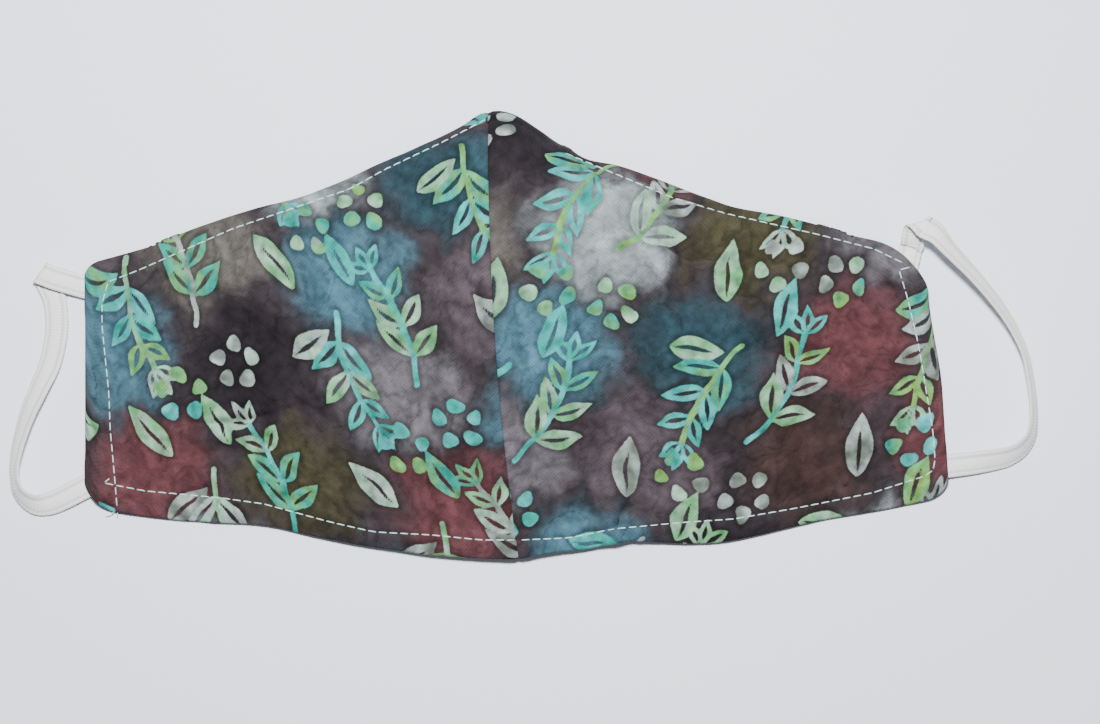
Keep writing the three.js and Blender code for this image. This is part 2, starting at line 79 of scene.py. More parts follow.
# Sections of the cloth from the seam (out 0) to the side hem (out 1), as shares of the sizes above, and the
# roll of the top in degrees
SECTION_COLUMNS = ("out", "foot", "top", "crest", "lift", "foot_lift", "top_lift", "roll")
LEFT_SECTIONS = (
    (0.0, 0.0, 1.0, 0.86, 1.0, 0.09, 0.34, 84),
    (0.08, 0.0, 0.958, 0.86, 0.93, 0.085, 0.3, 82),
    (0.19, 0.0, 0.911, 0.85, 0.82, 0.07, 0.24, 80),
    (0.27, 0.01, 0.88, 0.84, 0.74, 0.06, 0.2, 79),
    (0.36, 0.022, 0.841, 0.83, 0.65, 0.05, 0.16, 78),
    (0.46, 0.041, 0.807, 0.82, 0.56, 0.045, 0.12, 77),
    (0.57, 0.065, 0.783, 0.8, 0.45, 0.04, 0.08, 75),
    (0.7, 0.076, 0.749, 0.77, 0.3, 0.035, 0.05, 68),
    (0.85, 0.091, 0.706, 0.7, 0.12, 0.02, 0.02, 55),
    (1.0, 0.112, 0.668, 0.6, 0.0, 0.0, 0.0, 45),
)
RIGHT_SECTIONS = (
    (0.0, 0.0, 1.0, 0.86, 1.0, 0.09, 0.34, 84),
    (0.05, 0.009, 0.99, 0.855, 0.96, 0.085, 0.3, 100),
    (0.1, 0.016, 0.96, 0.855, 0.92, 0.08, 0.27, 106),
    (0.15, 0.021, 0.926, 0.86, 0.86, 0.07, 0.25, 96),
    (0.2, 0.03, 0.905, 0.85, 0.79, 0.07, 0.22, 76),
    (0.26, 0.041, 0.889, 0.84, 0.71, 0.09, 0.19, 70),
    (0.33, 0.036, 0.864, 0.83, 0.63, 0.06, 0.16, 68),
    (0.404, 0.033, 0.838, 0.82, 0.56, 0.05, 0.13, 66),
    (0.48, 0.037, 0.811, 0.81, 0.49, 0.045, 0.1, 65),
    (0.56, 0.052, 0.785, 0.8, 0.41, 0.04, 0.08, 65),
    (0.675, 0.078, 0.768, 0.78, 0.29, 0.035, 0.05, 62),
    (0.85, 0.108, 0.73, 0.7, 0.11, 0.02, 0.02, 55),
    (1.0, 0.14, 0.699, 0.6, 0.0, 0.0, 0.0, 45),
)

# Soft folds. The columns are out and up at the start, out and up at the end, and width and rise in
# millimetres
LEFT_FOLDS = (
    (0.2, 0.86, 0.27, 0.66, 5, -1.1),
    (0.1, 0.9, 0.16, 0.62, 8, 0.9),
    (0.34, 0.78, 0.42, 0.5, 8, 1.0),
    (0.47, 0.74, 0.55, 0.45, 7, -0.9),
    (0.62, 0.66, 0.8, 0.36, 9, 0.8),
    (0.12, 0.42, 0.3, 0.2, 9, -0.8),
    (0.38, 0.3, 0.62, 0.16, 8, 0.7),
)
RIGHT_FOLDS = (
    (0.16, 0.91, 0.42, 0.6, 4.5, -1.8),
    (0.11, 0.88, 0.36, 0.58, 6, 1.2),
    (0.3, 0.84, 0.47, 0.66, 6, 1.1),
    (0.42, 0.78, 0.56, 0.55, 6, -1.0),
    (0.6, 0.7, 0.78, 0.4, 8, 0.8),
    (0.24, 0.03, 0.22, 0.16, 5, 1.5),
    (0.3, 0.05, 0.36, 0.2, 6, -1.0),
    (0.5, 0.32, 0.7, 0.22, 9, -0.7),
)


# Creases of the cloth as it lies. The columns are start, middle and end in photo pixels, and half-width and
# rise in millimetres
CREASES = {
    "left low groove": ((172, 420), (235, 424), (304, 403), 1.8, -0.5),
    "left low ridge": ((172, 429), (235, 433), (300, 415), 2.6, 0.35),
    "left middle ridge": ((318, 372), (345, 415), (372, 480), 4, 0.5),
    "left middle groove": ((340, 358), (364, 408), (390, 470), 3, -0.45),
    "left upper ridge": ((232, 300), (262, 294), (300, 318), 4.5, 0.45),
    "left seam ridge": ((442, 290), (450, 380), (456, 470), 6, 0.5),
    "left seam groove": ((425, 300), (431, 380), (425, 450), 3.5, -0.5),
    "left crest ridge": ((330, 235), (380, 300), (402, 350), 5, 0.4),
    "left side ridge": ((130, 300), (152, 380), (150, 470), 6, 0.45),
    "left upper groove": ((200, 300), (260, 342), (330, 350), 4, -0.4),
    "left nose groove": ((470, 230), (478, 300), (486, 370), 3, -0.35),
    "left foot groove": ((380, 500), (440, 490), (500, 500), 4, -0.35),
    "right nose ridge": ((556, 152), (620, 203), (700, 258), 3.4, 1.0),
    "right nose groove": ((572, 148), (640, 213), (708, 286), 3.6, -1.0),
    "right top ridge": ((600, 172), (680, 213), (762, 232), 3.2, 0.6),
    "right top groove": ((640, 238), (720, 262), (800, 262), 3.6, -0.5),
    "right hem groove": ((616, 541), (622, 522), (640, 500), 2.4, -0.7),
    "right hem ridge": ((640, 541), (650, 521), (672, 500), 4, 0.5),
    "right middle ridge": ((700, 300), (790, 328), (890, 326), 5, 0.45),
    "right middle groove": ((690, 330), (780, 358), (880, 350), 3.6, -0.45),
    "right seam ridge": ((520, 180), (552, 260), (560, 340), 6, 0.45),
    "right low ridge": ((760, 470), (830, 452), (900, 404), 6, 0.45),
    "right low groove": ((560, 400), (640, 420), (700, 400), 4.5, -0.4),
    "right side groove": ((855, 262), (880, 290), (886, 340), 3, -0.4),
}


class Panel:
    """One of the two cotton panels: the way it runs from the seam, and its sizes."""

    def __init__(self, name, side, width, slant, radii, sections, folds, pockets):
        self.name = name
        self.side = side
        self.width = width
        self.slant = slant
        self.top_radius, self.foot_radius = radii
        self.sections = np.array(sections)
        self.folds = folds
        self.pockets = pockets


# The upper and the lower pocket: share of the seam's height, millimetres in from the side hem, and the
# elastic's heading
LEFT_POCKETS = ((0.617, 0.0, 164.3), (0.163, 0.5, 204))
RIGHT_POCKETS = ((0.703, 6.2, 77), (0.208, 0.0, 9))
# The radii are those of the corners at the top and at the foot
LEFT = Panel("left", -1, 117.0, 0.0, (4, 9), LEFT_SECTIONS, LEFT_FOLDS, LEFT_POCKETS)
RIGHT = Panel("right", 1, 116.0, 7.5, (14, 6), RIGHT_SECTIONS, RIGHT_FOLDS, RIGHT_POCKETS)


def smoothstep(x, low, high):
    """0 below low, 1 above high, and smooth between."""
    t = np.clip((x - low) / (high - low), 0, 1)
    return t * t * (3 - 2 * t)


def hump(x, middle, width):
    """1 at the middle, fading to 0 on both sides."""
    return np.exp(-(((x - middle) / width) ** 2))


def lerp(a, b, t):
    """From a to b by the share t."""
    return a + (b - a) * t


def from_table(panel, key, at):
    """One column of a panel's sections, on a smooth curve through its rows."""
    xs = panel.sections[:, 0]
    ys = panel.sections[:, SECTION_COLUMNS.index(key)]
    last = len(xs) - 1
    slope = np.array(
        [
            (ys[min(k + 1, last)] - ys[max(k - 1, 0)]) / (xs[min(k + 1, last)] - xs[max(k - 1, 0)])
            for k in range(last + 1)
        ]
    )
    i = np.clip(np.searchsorted(xs, at, side="left") - 1, 0, last - 1)
    span = xs[i + 1] - xs[i]
    t = np.clip((at - xs[i]) / span, 0, 1)
    return (
        ys[i] * (1 + 2 * t) * (1 - t) ** 2
        + ys[i + 1] * (3 - 2 * t) * t**2
        + slope[i] * span * t * (1 - t) ** 2
        + slope[i + 1] * span * (t - 1) * t**2
    )


def seam_x(y):
    """Where the seam lies across the mask at a height up it."""
    down = np.clip(1 - y / SEAM_HEIGHT, 0, 1.1)
    return -SEAM_LEAN * (1 - down**SEAM_BEND)


def side_x(panel, y, draw=SIDE_DRAW):
    """Where a panel's side hem lies across the mask at a height up it, with or without its draw."""
    up = y / SEAM_HEIGHT
    drawn_in = panel.slant * (np.clip(up - 0.15, 0, 1) + draw * smoothstep(up, 0.38, 0.6))
    return panel.side * (panel.width - drawn_in)


def corner_draw(distance, radius):
    """How far a rounded corner draws an edge in, at a distance from the side hem."""
    into = np.clip(radius - distance, 0, radius)
    return radius - np.sqrt(radius**2 - into**2)


def pocket_mouth(panel, pocket):
    """Where the elastic leaves a pocket, in plan."""
    y = pocket[0] * SEAM_HEIGHT
    return np.array([side_x(panel, y, 0) - panel.side * pocket[1], y])


def heading(degrees):
    """The unit vector of a heading in plan."""
    return np.array([math.cos(math.radians(degrees)), math.sin(math.radians(degrees))])


def pocket_lump(panel, pocket, x, y):
    """1 over a pocket, fading to 0 round it."""
    out = heading(pocket[2])
    mouth = pocket_mouth(panel, pocket)
    dx, dy = x - mouth[0], y - mouth[1]
    along = dx * out[0] + dy * out[1]
    across = np.abs(dx * out[1] - dy * out[0])
    past = np.maximum(across - ELASTIC_WIDTH / 2 - POCKET_CLEARANCE - 0.5, -along - POCKET_DEPTH - 1)
    return 1 - smoothstep(np.maximum(past, 0), 0, POCKET_FADE)


def wall_at(panel, x, y, edge):
    """How thick the cloth is, thicker in the hem and over a pocket."""
    hem = lerp(CLOTH, HEM, 1 - smoothstep(edge, HEM_BAND, HEM_BAND + HEM_FADE))
    full = ELASTIC_THICK + 2 * (POCKET_CLEARANCE + POCKET_WALL)
    lump = np.maximum(*[pocket_lump(panel, p, x, y) for p in panel.pockets])
    return lerp(hem, np.maximum(full, hem), lump)


def fold_rise(panel, out, y):
    """How far the soft folds lift the cloth."""
    rise = np.zeros_like(out)
    for f_out, f_up, end_out, end_up, wide, high in panel.folds:
        start = np.array([f_out * panel.width, f_up * SEAM_HEIGHT])
        run = np.array([end_out * panel.width, end_up * SEAM_HEIGHT]) - start
        dx, dy = out * panel.width - start[0], y - start[1]
        along = (dx * run[0] + dy * run[1]) / run.dot(run)
        across = (dx * run[1] - dy * run[0]) / math.hypot(*run)
        ends = smoothstep(along, -0.25, 0.25) * (1 - smoothstep(along, 0.75, 1.25))
        rise += high * ends * np.exp(-((across / wide) ** 2) * 2)
    return rise * smoothstep(out, 0, 0.06) * (1 - smoothstep(out, 0.85, 0.97))


def underside(panel, out, along):
    """Points of the cloth's underside. Along is 0 at the foot, 1 at the crest and 2 at the top edge."""
    lift, roll = from_table(panel, "lift", out), np.radians(from_table(panel, "roll", out))
    from_side = (1 - out) * panel.width
    quarter = np.minimum(roll, math.pi / 2)
    foot = from_table(panel, "foot", out) * SEAM_HEIGHT + corner_draw(from_side, panel.foot_radius)
    if panel.side < 0:
        foot = foot + FOOT_HITCH * smoothstep(out, 0.05, 0.2) * (1 - smoothstep(out, 0.6, 0.8))
    top = from_table(panel, "top", out) * SEAM_HEIGHT - corner_draw(from_side, panel.top_radius)
    top = top - HEM * np.sin(quarter) ** 2 * lift + TOP_STRETCH * np.minimum(1, 1.6 * lift)
    crest = lerp(foot, top, from_table(panel, "crest", out))
    foot_z = from_table(panel, "foot_lift", out) * RIDGE_HEIGHT
    top_z = from_table(panel, "top_lift", out) * RIDGE_HEIGHT
    crest_z = lift * RIDGE_HEIGHT
    low = along <= 1
    turn = (along - 1) * roll
    y = np.where(low, lerp(foot, crest, along), lerp(crest, top, np.sin(turn) / np.sin(quarter)))
    rising = lerp(foot_z, crest_z, np.sin(along * math.pi / 2))
    falling = lerp(crest_z, top_z, (1 - np.cos(turn)) / (1 - np.cos(roll)))
    x = lerp(seam_x(y), side_x(panel, y), out)
    z = np.where(low, rising, falling) + fold_rise(panel, out, y)
    return np.stack([x, y, np.maximum(z - SETTLE * smoothstep(out, 0, 0.5), 0)], axis=-1)


# The row frame's origin is under the middle of the whole outline, and the seam's foot is here in it.
SEAM_FOOT = np.array([-1.2886, -58.7291, 0.0])

# The photo's view: straight down, 3.7 pixels to the millimetre at the table
PIXELS_PER_MM = 3.7
PHOTO_SIZE = (1100, 724)
FOOT_PIXEL = np.array([518.9, 556.9])
CAMERA_HEIGHT = 630.0
FOOT_TO_MIDDLE = np.array([PHOTO_SIZE[0] / 2 - FOOT_PIXEL[0], FOOT_PIXEL[1] - PHOTO_SIZE[1] / 2])
CAMERA_XY = SEAM_FOOT[:2] + FOOT_TO_MIDDLE / PIXELS_PER_MM


def photo_pixels(points):
    """Where points in the row frame, in millimetres, show in the photo."""
    shown = (points[..., :2] - CAMERA_XY) * (CAMERA_HEIGHT / (CAMERA_HEIGHT - points[..., 2:3]))
    across = PHOTO_SIZE[0] / 2 + shown[..., 0] * PIXELS_PER_MM
    down = PHOTO_SIZE[1] / 2 - shown[..., 1] * PIXELS_PER_MM
    return np.stack([across, down], axis=-1)


# Topstitching: where each named line turns, in photo pixels
STITCH_LINES = {
    "left": {
        "side": ((108, 282), (102, 304), (102, 326), (109, 395), (110, 428), (115, 482), (117, 507)),
        "top": ((108, 282), (139, 270), (232, 229), (350, 189), (384, 170), (443, 142), (487, 119)),
        "foot": (
            (104, 483), (145, 491), (221, 498), (264, 504), (330, 522), (374, 532), (432, 535), (481, 540),
            (516, 540),
        ),
        "back_tack": ((104, 483), (110, 478)),
    },
    "right": {
        "foot": (
            (520, 540), (569, 538), (613, 529), (676, 523), (734, 519), (797, 508), (872, 493), (928, 475),
            (933, 470),
        ),
        "side": ((933, 470), (935, 460), (933, 432), (919, 347), (907, 296), (899, 270)),
        "top": ((564, 153), (625, 178), (673, 198), (725, 213.5), (816, 234), (874, 249), (903, 263)),
        "back_tack": ((899, 270), (911, 267)),
    },
}

# Ground dyes, the lighter dyes of the motifs and the two of the lining, as sRGB shares of 255
GROUND_DYES = {
    "plum": (80, 71, 78),
    "charcoal": (46, 40, 48),
    "wine": (136, 80, 86),
    "mauve": (118, 104, 114),
    "lilac_grey": (138, 134, 142),
    "mist_blue": (178, 192, 196),
    "slate_blue": (96, 150, 172),
    "deep_teal": (54, 98, 112),
    "stone": (130, 126, 118),
    "olive": (96, 92, 62),
    "brown": (88, 64, 58),
}
MOTIF_DYES = {
    "teal": (92, 184, 172),
    "aqua": (124, 200, 200),
    "leaf": (130, 190, 138),
    "lime": (152, 196, 124),
    "pale": (172, 204, 182),
    "mist": (182, 196, 192),
    "grey": (136, 146, 138),
}
LINING_DYES = ((50, 45, 51), (74, 67, 73))
# The two dyes that run together in a motif
DYE_PAIRS = (
    ("grey", "mist"), ("mist", "pale"), ("leaf", "lime"),
    ("pale", "leaf"), ("teal", "leaf"), ("aqua", "teal"),
)
MOTIF_ENRICH = 1.35
DYE_FAINTEST = 0.003
DYE_DARKEST = 0.21
DYE_GAIN = 0.4

# The ground: broad areas of dye in a half-drop order, in millimetres of flat cloth. The dyes are taken in
# turn, as many on as the strides say from one area to the next
DYES_IN_TURN = (
    "wine", "charcoal", "slate_blue", "brown", "mauve", "wine", "deep_teal",
    "lilac_grey", "olive", "slate_blue", "charcoal", "mist_blue", "stone",
)
DYE_STEP = (38.0, 32.0)
DYE_STRIDES = (10, 2)
DYE_FIRST = 3
DYES_EACH_WAY = 6
DYE_HALF = (13.5, 11.0)
DYE_STRENGTH = 1.3
GROUND_SHARE = 0.22
TIDE_EDGE = 1.6
# How dye runs: the size of each wander of its edges, and how far it goes
DYE_RUNS = ((9.0, 6.0), (3.5, 2.4), (1.2, 0.9))
CRACKLE = 0.32
CRACKLE_WIDTH = 0.035

# The print: a half-drop repeat of leaf sprigs, loose leaves and rings of dots, in millimetres of flat cloth
REPEAT = (54.0, 60.0)
REPEATS_EACH_WAY = 3
# Each panel is cut from its own place of the cloth: turn in degrees, and shift across and up
CUTS = {"left": (-24.0, 7.0, 12.0), "right": (31.0, 19.0, 40.0)}
# Sprigs: across, up and heading. Leaves: across, up, heading and length. Rings: across, up and radius
SPRIGS = ((6.0, 5.0, 58.0), (47.0, 58.0, 236.0))
LEAVES = ((38.0, 6.0, 112.0, 17.0), (29.0, 50.0, 18.0, 15.0), (1.0, 33.0, 96.0, 15.0))
RINGS = ((48.0, 20.0, 5.4), (12.0, 52.0, 5.0))
SPRIG_LENGTH = 31.0
SPRIG_BEND = 46.0
SPRIG_PAIRS = 3
SPRIG_LEAF = 12.5
SPRIG_TAPER = 0.62
SPRIG_SPREAD = 44.0
STEM_HALF = 0.75
LEAF_FULLNESS = 0.44
MIDRIB = 0.62
RING_DOTS = 5
RING_DOT = 2.1
NO_MOTIF = -99.0


def linear(rgb):
    """sRGB shares of 255 as a linear colour."""
    c = np.asarray(rgb, dtype=float) / 255
    return np.where(c <= 0.04045, c / 12.92, ((c + 0.055) / 1.055) ** 2.4)


def dye(rgb, enrich=1.0):
    """The linear colour that makes a dye look like its sRGB shares under the studio light."""
    c = linear(rgb)
    grey = c.mean()
    return np.clip((grey + (c - grey) * enrich) * (DYE_DARKEST + DYE_GAIN * grey), DYE_FAINTEST, 1)


def soft_noise(points, size, seed):
    """Smooth noise from about -1 to 1 at points in the plane, with features of the given size."""
    return np.array([noise.noise(Vector((p[0] / size, p[1] / size, seed))) for p in points])


def leaf_depth(at, x, y, turn, length):
    """How deep points lie inside a pointed leaf with an open midrib."""
    c, s = math.cos(math.radians(turn)), math.sin(math.radians(turn))
    dx, dy = (at - (x, y)).T
    along, aside = (dx * c + dy * s) / length, np.abs(dy * c - dx * s)
    share = np.clip(along, 0, 1)
    past = (np.abs(along - 0.5) - 0.5).clip(0) * length
    body = length * LEAF_FULLNESS / 2 * np.sin(math.pi * share**0.85) - aside - past
    rib = MIDRIB * (1 - ((share - 0.42) / 0.36) ** 2)
    return np.minimum(body, aside - rib)


def dot_depth(at, x, y, radius):
    """How deep points lie inside a dot that the wax has left a little uneven."""
    dx, dy = (at - (x, y)).T
    return radius * (1 + 0.09 * np.cos(3 * np.arctan2(dy, dx) + x)) - np.hypot(dx, dy)


def stem_depth(at, line):
    """How deep points lie inside a stem along a line of points."""
    return STEM_HALF - nearest_on_line(at, line)[0]


def sprig_shapes(x, y, turn):
    """The leaves and the stem of a sprig, as measure, values, place and reach."""
    steps = SPRIG_PAIRS + 1
    line, shapes = [(x, y)], []
    for i in range(steps):
        turn += SPRIG_BEND / steps
        x += SPRIG_LENGTH / steps * math.cos(math.radians(turn))
        y += SPRIG_LENGTH / steps * math.sin(math.radians(turn))
        line.append((x, y))
        size = lerp(SPRIG_LEAF, SPRIG_LEAF * SPRIG_TAPER, i / SPRIG_PAIRS)
        spreads = (-SPRIG_SPREAD, SPRIG_SPREAD) if i < SPRIG_PAIRS else (-SPRIG_SPREAD, 0, SPRIG_SPREAD)
        shapes += [(leaf_depth, (x, y, turn + spread, size), (x, y), size) for spread in spreads]
    shapes.append((stem_depth, (line,), line[0], SPRIG_LENGTH))
    return shapes


def print_shapes():
    """Every motif of the repeated print over more cloth than a panel takes."""
    shapes = []
    for i in range(-REPEATS_EACH_WAY, REPEATS_EACH_WAY + 1):
        for j in range(-REPEATS_EACH_WAY, REPEATS_EACH_WAY + 1):
            across, up = i * REPEAT[0], (j + i % 2 / 2) * REPEAT[1]
            for x, y, turn in SPRIGS:
                shapes += sprig_shapes(across + x, up + y, turn)
            for x, y, turn, length in LEAVES:
                shapes.append((leaf_depth, (across + x, up + y, turn, length), (across + x, up + y), length))
            for x, y, radius in RINGS:
                for k in range(RING_DOTS):
                    angle = 2 * math.pi * k / RING_DOTS
                    place = (across + x + radius * math.cos(angle), up + y + radius * math.sin(angle))
                    shapes.append((dot_depth, (*place, RING_DOT), place, RING_DOT))
    return shapes


def cut_from(at, panel):
    """Where points across and up a panel lie on the flat cloth that it is cut from."""
    turn, across, up = CUTS[panel.name]
    c, s = math.cos(math.radians(turn)), math.sin(math.radians(turn))
    return np.stack([at[:, 0] * c - at[:, 1] * s + across, at[:, 0] * s + at[:, 1] * c + up], axis=1)


def motif_layers(at, panel):
    """Depth inside the motifs in millimetres, and their colours, at points across and up a panel's cloth."""
    cloth = cut_from(at, panel)
    cloth += 0.9 * np.stack([soft_noise(at, 6, 1.7), soft_noise(at, 6, 4.9)], axis=1)
    mottle = np.clip(0.5 + 1.5 * soft_noise(at, 4.8, 3.1) + 0.25 * soft_noise(at, 1.35, 8.7), 0, 1)[:, None]
    shade = (0.94 + 0.36 * soft_noise(at, 1.35, 5.2) + 0.5 * soft_noise(at, 3, 6.1))[:, None]
    depth = np.full(len(at), NO_MOTIF)
    colours = np.tile(dye(MOTIF_DYES["pale"]), (len(at), 1))
    for measure, values, place, reach in print_shapes():
        near = np.flatnonzero(np.abs(cloth - place).max(axis=1) < reach + 3)
        if not len(near):
            continue
        found = measure(cloth[near], *values)
        tone = 1.5 * noise.noise(Vector((place[0] / 21, place[1] / 21, 6.3)))
        first, second = DYE_PAIRS[int(np.clip((tone + 0.5) * len(DYE_PAIRS), 0, len(DYE_PAIRS) - 1))]
        pair = lerp(dye(MOTIF_DYES[first], MOTIF_ENRICH), dye(MOTIF_DYES[second], MOTIF_ENRICH), mottle[near])
        deeper = found > depth[near]
        colours[near[deeper]] = (pair * shade[near])[deeper]
        depth[near[deeper]] = found[deeper]
    return depth, np.clip(colours, 0, 1)


def dye_areas():
    """The middle and the dye of each broad area of the ground, over more cloth than a panel takes."""
    around = range(-DYES_EACH_WAY, DYES_EACH_WAY + 1)
    return [
        (
            (i * DYE_STEP[0], (j + i % 2 / 2) * DYE_STEP[1]),
            DYES_IN_TURN[(DYE_STRIDES[0] * i + DYE_STRIDES[1] * j + DYE_FIRST) % len(DYES_IN_TURN)],
        )
        for i in around
        for j in around
    ]


def ground_layer(at, panel):
    """The ground dye at points across and up a panel's cloth: broad areas that have run into each other."""
    warp = np.zeros_like(at)
    for size, move in DYE_RUNS:
        warp += move * np.stack([soft_noise(at, size, 1.3), soft_noise(at, size, 5.9)], axis=1)
    run = at + warp
    cloth = cut_from(run, panel)
    total = np.full(len(at), GROUND_SHARE)
    ground = np.tile(dye(GROUND_DYES["plum"]) * GROUND_SHARE, (len(at), 1))
    for place, name in dye_areas():
        far = (((cloth - place) / DYE_HALF) ** 2).sum(axis=1)
        fall = np.exp(-(far**TIDE_EDGE)) * DYE_STRENGTH
        total += fall
        ground += fall[:, None] * dye(GROUND_DYES[name])
    shade = 1 + 0.4 * soft_noise(run, 9, 7.1)
    shade = shade + 0.2 * soft_noise(at, 1.9, 4.4) + 0.1 * soft_noise(at, 0.7, 9.4)
    shade *= 0.8 + 0.45 * np.sqrt(np.abs(soft_noise(run, 5, 3.3)))
    for size, seed in ((13, 2.2), (8, 11.6)):
        shade *= 1 - CRACKLE * np.exp(-((soft_noise(run, size, seed) / CRACKLE_WIDTH) ** 2))
    return np.clip(ground / total[:, None] * shade[:, None], 0, 1)


# Mesh helpers
def deselect():
    """Select nothing."""
    for o in bpy.context.selected_objects:
        o.select_set(False)


def only(obj):
    """Select one object and make it the active one."""
    deselect()
    obj.select_set(True)
    bpy.context.view_layer.objects.active = obj


def add_grid(name, columns, rows):
    """A flat grid primitive, and the row and column of each of its vertices."""
    deselect()
    bpy.ops.mesh.primitive_grid_add(x_subdivisions=columns, y_subdivisions=rows, size=1, location=(0, 0, 0))
    obj = bpy.context.object
    obj.name = obj.data.name = name
    flat = np.empty(len(obj.data.vertices) * 3)
    obj.data.vertices.foreach_get("co", flat)
    flat = flat.reshape(-1, 3)
    column = np.rint((flat[:, 0] + 0.5) * columns).astype(int)
    row = np.rint((flat[:, 1] + 0.5) * rows).astype(int)
    return obj, column, row


def place_vertices(obj, points):
    """Move a mesh's vertices to points in millimetres."""
    obj.data.vertices.foreach_set("co", (points * MM).astype(np.float32).ravel())
    obj.data.update()


def set_uv(obj, uv):
    """Give a mesh a UV map from a place for each vertex."""
    layer = obj.data.uv_layers[0] if obj.data.uv_layers else obj.data.uv_layers.new(name="UVMap")
    corner = np.empty(len(obj.data.loops), dtype=np.int32)
    obj.data.loops.foreach_get("vertex_index", corner)
    layer.data.foreach_set("uv", uv[corner].astype(np.float32).ravel())


def set_attribute(obj, name, kind, values):
    """Store a value or a colour on each vertex, for the material to read."""
    layer = obj.data.attributes.new(name=name, type=kind, domain="POINT")
    layer.data.foreach_set("value" if kind == "FLOAT" else "color", values.astype(np.float32).ravel())


def merge_doubles(obj, distance):
    """Merge vertices that lie within a distance of each other."""
    only(obj)
    bpy.ops.object.mode_set(mode="EDIT")
    bpy.ops.mesh.select_all(action="SELECT")
    bpy.ops.mesh.remove_doubles(threshold=distance)
    bpy.ops.mesh.select_all(action="DESELECT")
    bpy.ops.object.mode_set(mode="OBJECT")


def apply_modifiers(obj):
    """Apply every modifier of an object, in order."""
    only(obj)
    for m in list(obj.modifiers):
        bpy.ops.object.modifier_apply(modifier=m.name)


# Shader helpers
def new_material(name):
    """A new material, its node tree and its shader."""
    material = bpy.data.materials.new(name)
    material.use_nodes = True
    tree = material.node_tree
    shader = tree.nodes["Principled BSDF"]
    return material, tree, shader


def add_node(tree, kind, x, y, **values):
    """A new node at a place in the node editor, with its properties set."""
    node = tree.nodes.new(kind)
    node.location = (x, y)
    for key, value in values.items():
        setattr(node, key, value)
    return node


def join_math(tree, operation, a, b, x, y):
    """A Math node's output. Its third input is set by the caller."""
    node = add_node(tree, "ShaderNodeMath", x, y, operation=operation)
    for socket, value in zip(node.inputs, (a, b)):
        if isinstance(value, (int, float)):
            socket.default_value = value
        elif value is not None:
            tree.links.new(value, socket)
    return node.outputs[0]


def mix_colours(tree, factor, a, b, x, y):
    """The colour output of a Mix node, whose colour inputs are its seventh and eighth."""
    node = add_node(tree, "ShaderNodeMix", x, y, data_type="RGBA")
    for socket, value in ((node.inputs[0], factor), (node.inputs[6], a), (node.inputs[7], b)):
        if isinstance(value, (int, float, tuple)):
            socket.default_value = value
        else:
            tree.links.new(value, socket)
    return node.outputs[2]


THREAD_PITCH = 0.5  # of the cotton's weave, in millimetres
WEAVE_DEPTH = 0.00012  # in metres, as Bump nodes take it
CRUMPLE_DEPTH = 0.0012


def weave_group():
    """Plain weave on a UV map in tenths of a metre, with a height that varies thread by thread, and a shade
    of random slubs plus painted shade: raised thread lighter, the gaps between threads darker.
    """
    if "Plain Weave" in bpy.data.node_groups:
        return bpy.data.node_groups["Plain Weave"]
    group = bpy.data.node_groups.new("Plain Weave", "ShaderNodeTree")
    group.interface.new_socket(name="Pitch per UV", in_out="INPUT", socket_type="NodeSocketFloat")
    group.interface.new_socket(name="Height", in_out="OUTPUT", socket_type="NodeSocketFloat")
    group.interface.new_socket(name="Shade", in_out="OUTPUT", socket_type="NodeSocketFloat")
    ins = add_node(group, "NodeGroupInput", -900, 0)
    outs = add_node(group, "NodeGroupOutput", 700, 0)
    uv = add_node(group, "ShaderNodeUVMap", -900, 200)
    wobble = add_node(group, "ShaderNodeTexNoise", -900, 420)
    wobble.inputs["Scale"].default_value = 60
    group.links.new(uv.outputs[0], wobble.inputs["Vector"])
    scaled = add_node(group, "ShaderNodeVectorMath", -700, 200, operation="SCALE")
    group.links.new(uv.outputs[0], scaled.inputs[0])
    group.links.new(ins.outputs[0], scaled.inputs["Scale"])
    moved = add_node(group, "ShaderNodeVectorMath", -520, 200, operation="ADD")
    group.links.new(scaled.outputs[0], moved.inputs[0])
    group.links.new(wobble.outputs["Color"], moved.inputs[1])
    split = add_node(group, "ShaderNodeSeparateXYZ", -340, 200)
    group.links.new(moved.outputs[0], split.inputs[0])
    over = []
    for axis, y in ((0, 300), (1, 60)):
        turns = join_math(group, "MULTIPLY", split.outputs[axis], math.pi, -160, y)
        over.append(join_math(group, "SINE", turns, None, 0, y))
    woven = join_math(group, "MULTIPLY", over[0], over[1], 180, 200)
    raised = join_math(group, "MULTIPLY_ADD", woven, 0.5, 360, 200)
    raised.node.inputs[2].default_value = 0.5
    group.links.new(raised, outs.inputs["Height"])
    slubs = add_node(group, "ShaderNodeTexNoise", 180, -160)
    slubs.inputs["Scale"].default_value = 900
    slubs.inputs["Detail"].default_value = 3
    group.links.new(uv.outputs[0], slubs.inputs["Vector"])
    shade = join_math(group, "MULTIPLY_ADD", slubs.outputs["Fac"], 0.5, 360, -160)
    shade.node.inputs[2].default_value = 0.25
    # Painted shade: the weave's height is added to the Shade output, so raised thread is lighter and the gaps
    # between threads darker
    both = join_math(group, "ADD", shade, join_math(group, "MULTIPLY", raised, 0.5, 540, 60), 540, -120)
    group.links.new(both, outs.inputs["Shade"])
    return group


def add_weave(tree, pitch_mm):
    """The weave group in a material, at a thread pitch in millimetres."""
    node = add_node(tree, "ShaderNodeGroup", -900, -300)
    node.node_tree = weave_group()
    node.inputs[0].default_value = 100 / pitch_mm
    return node


def add_bump(tree, shader, height, strength, distance, below=None):
    """A bump on a shader's normal, over the bump below if one is given."""
    bump = add_node(tree, "ShaderNodeBump", -300, -400)
    bump.inputs["Strength"].default_value = strength
    bump.inputs["Distance"].default_value = distance
    tree.links.new(height, bump.inputs["Height"])
    if below is not None:
        tree.links.new(below, bump.inputs["Normal"])
    tree.links.new(bump.outputs[0], shader.inputs["Normal"])
    return bump.outputs[0]


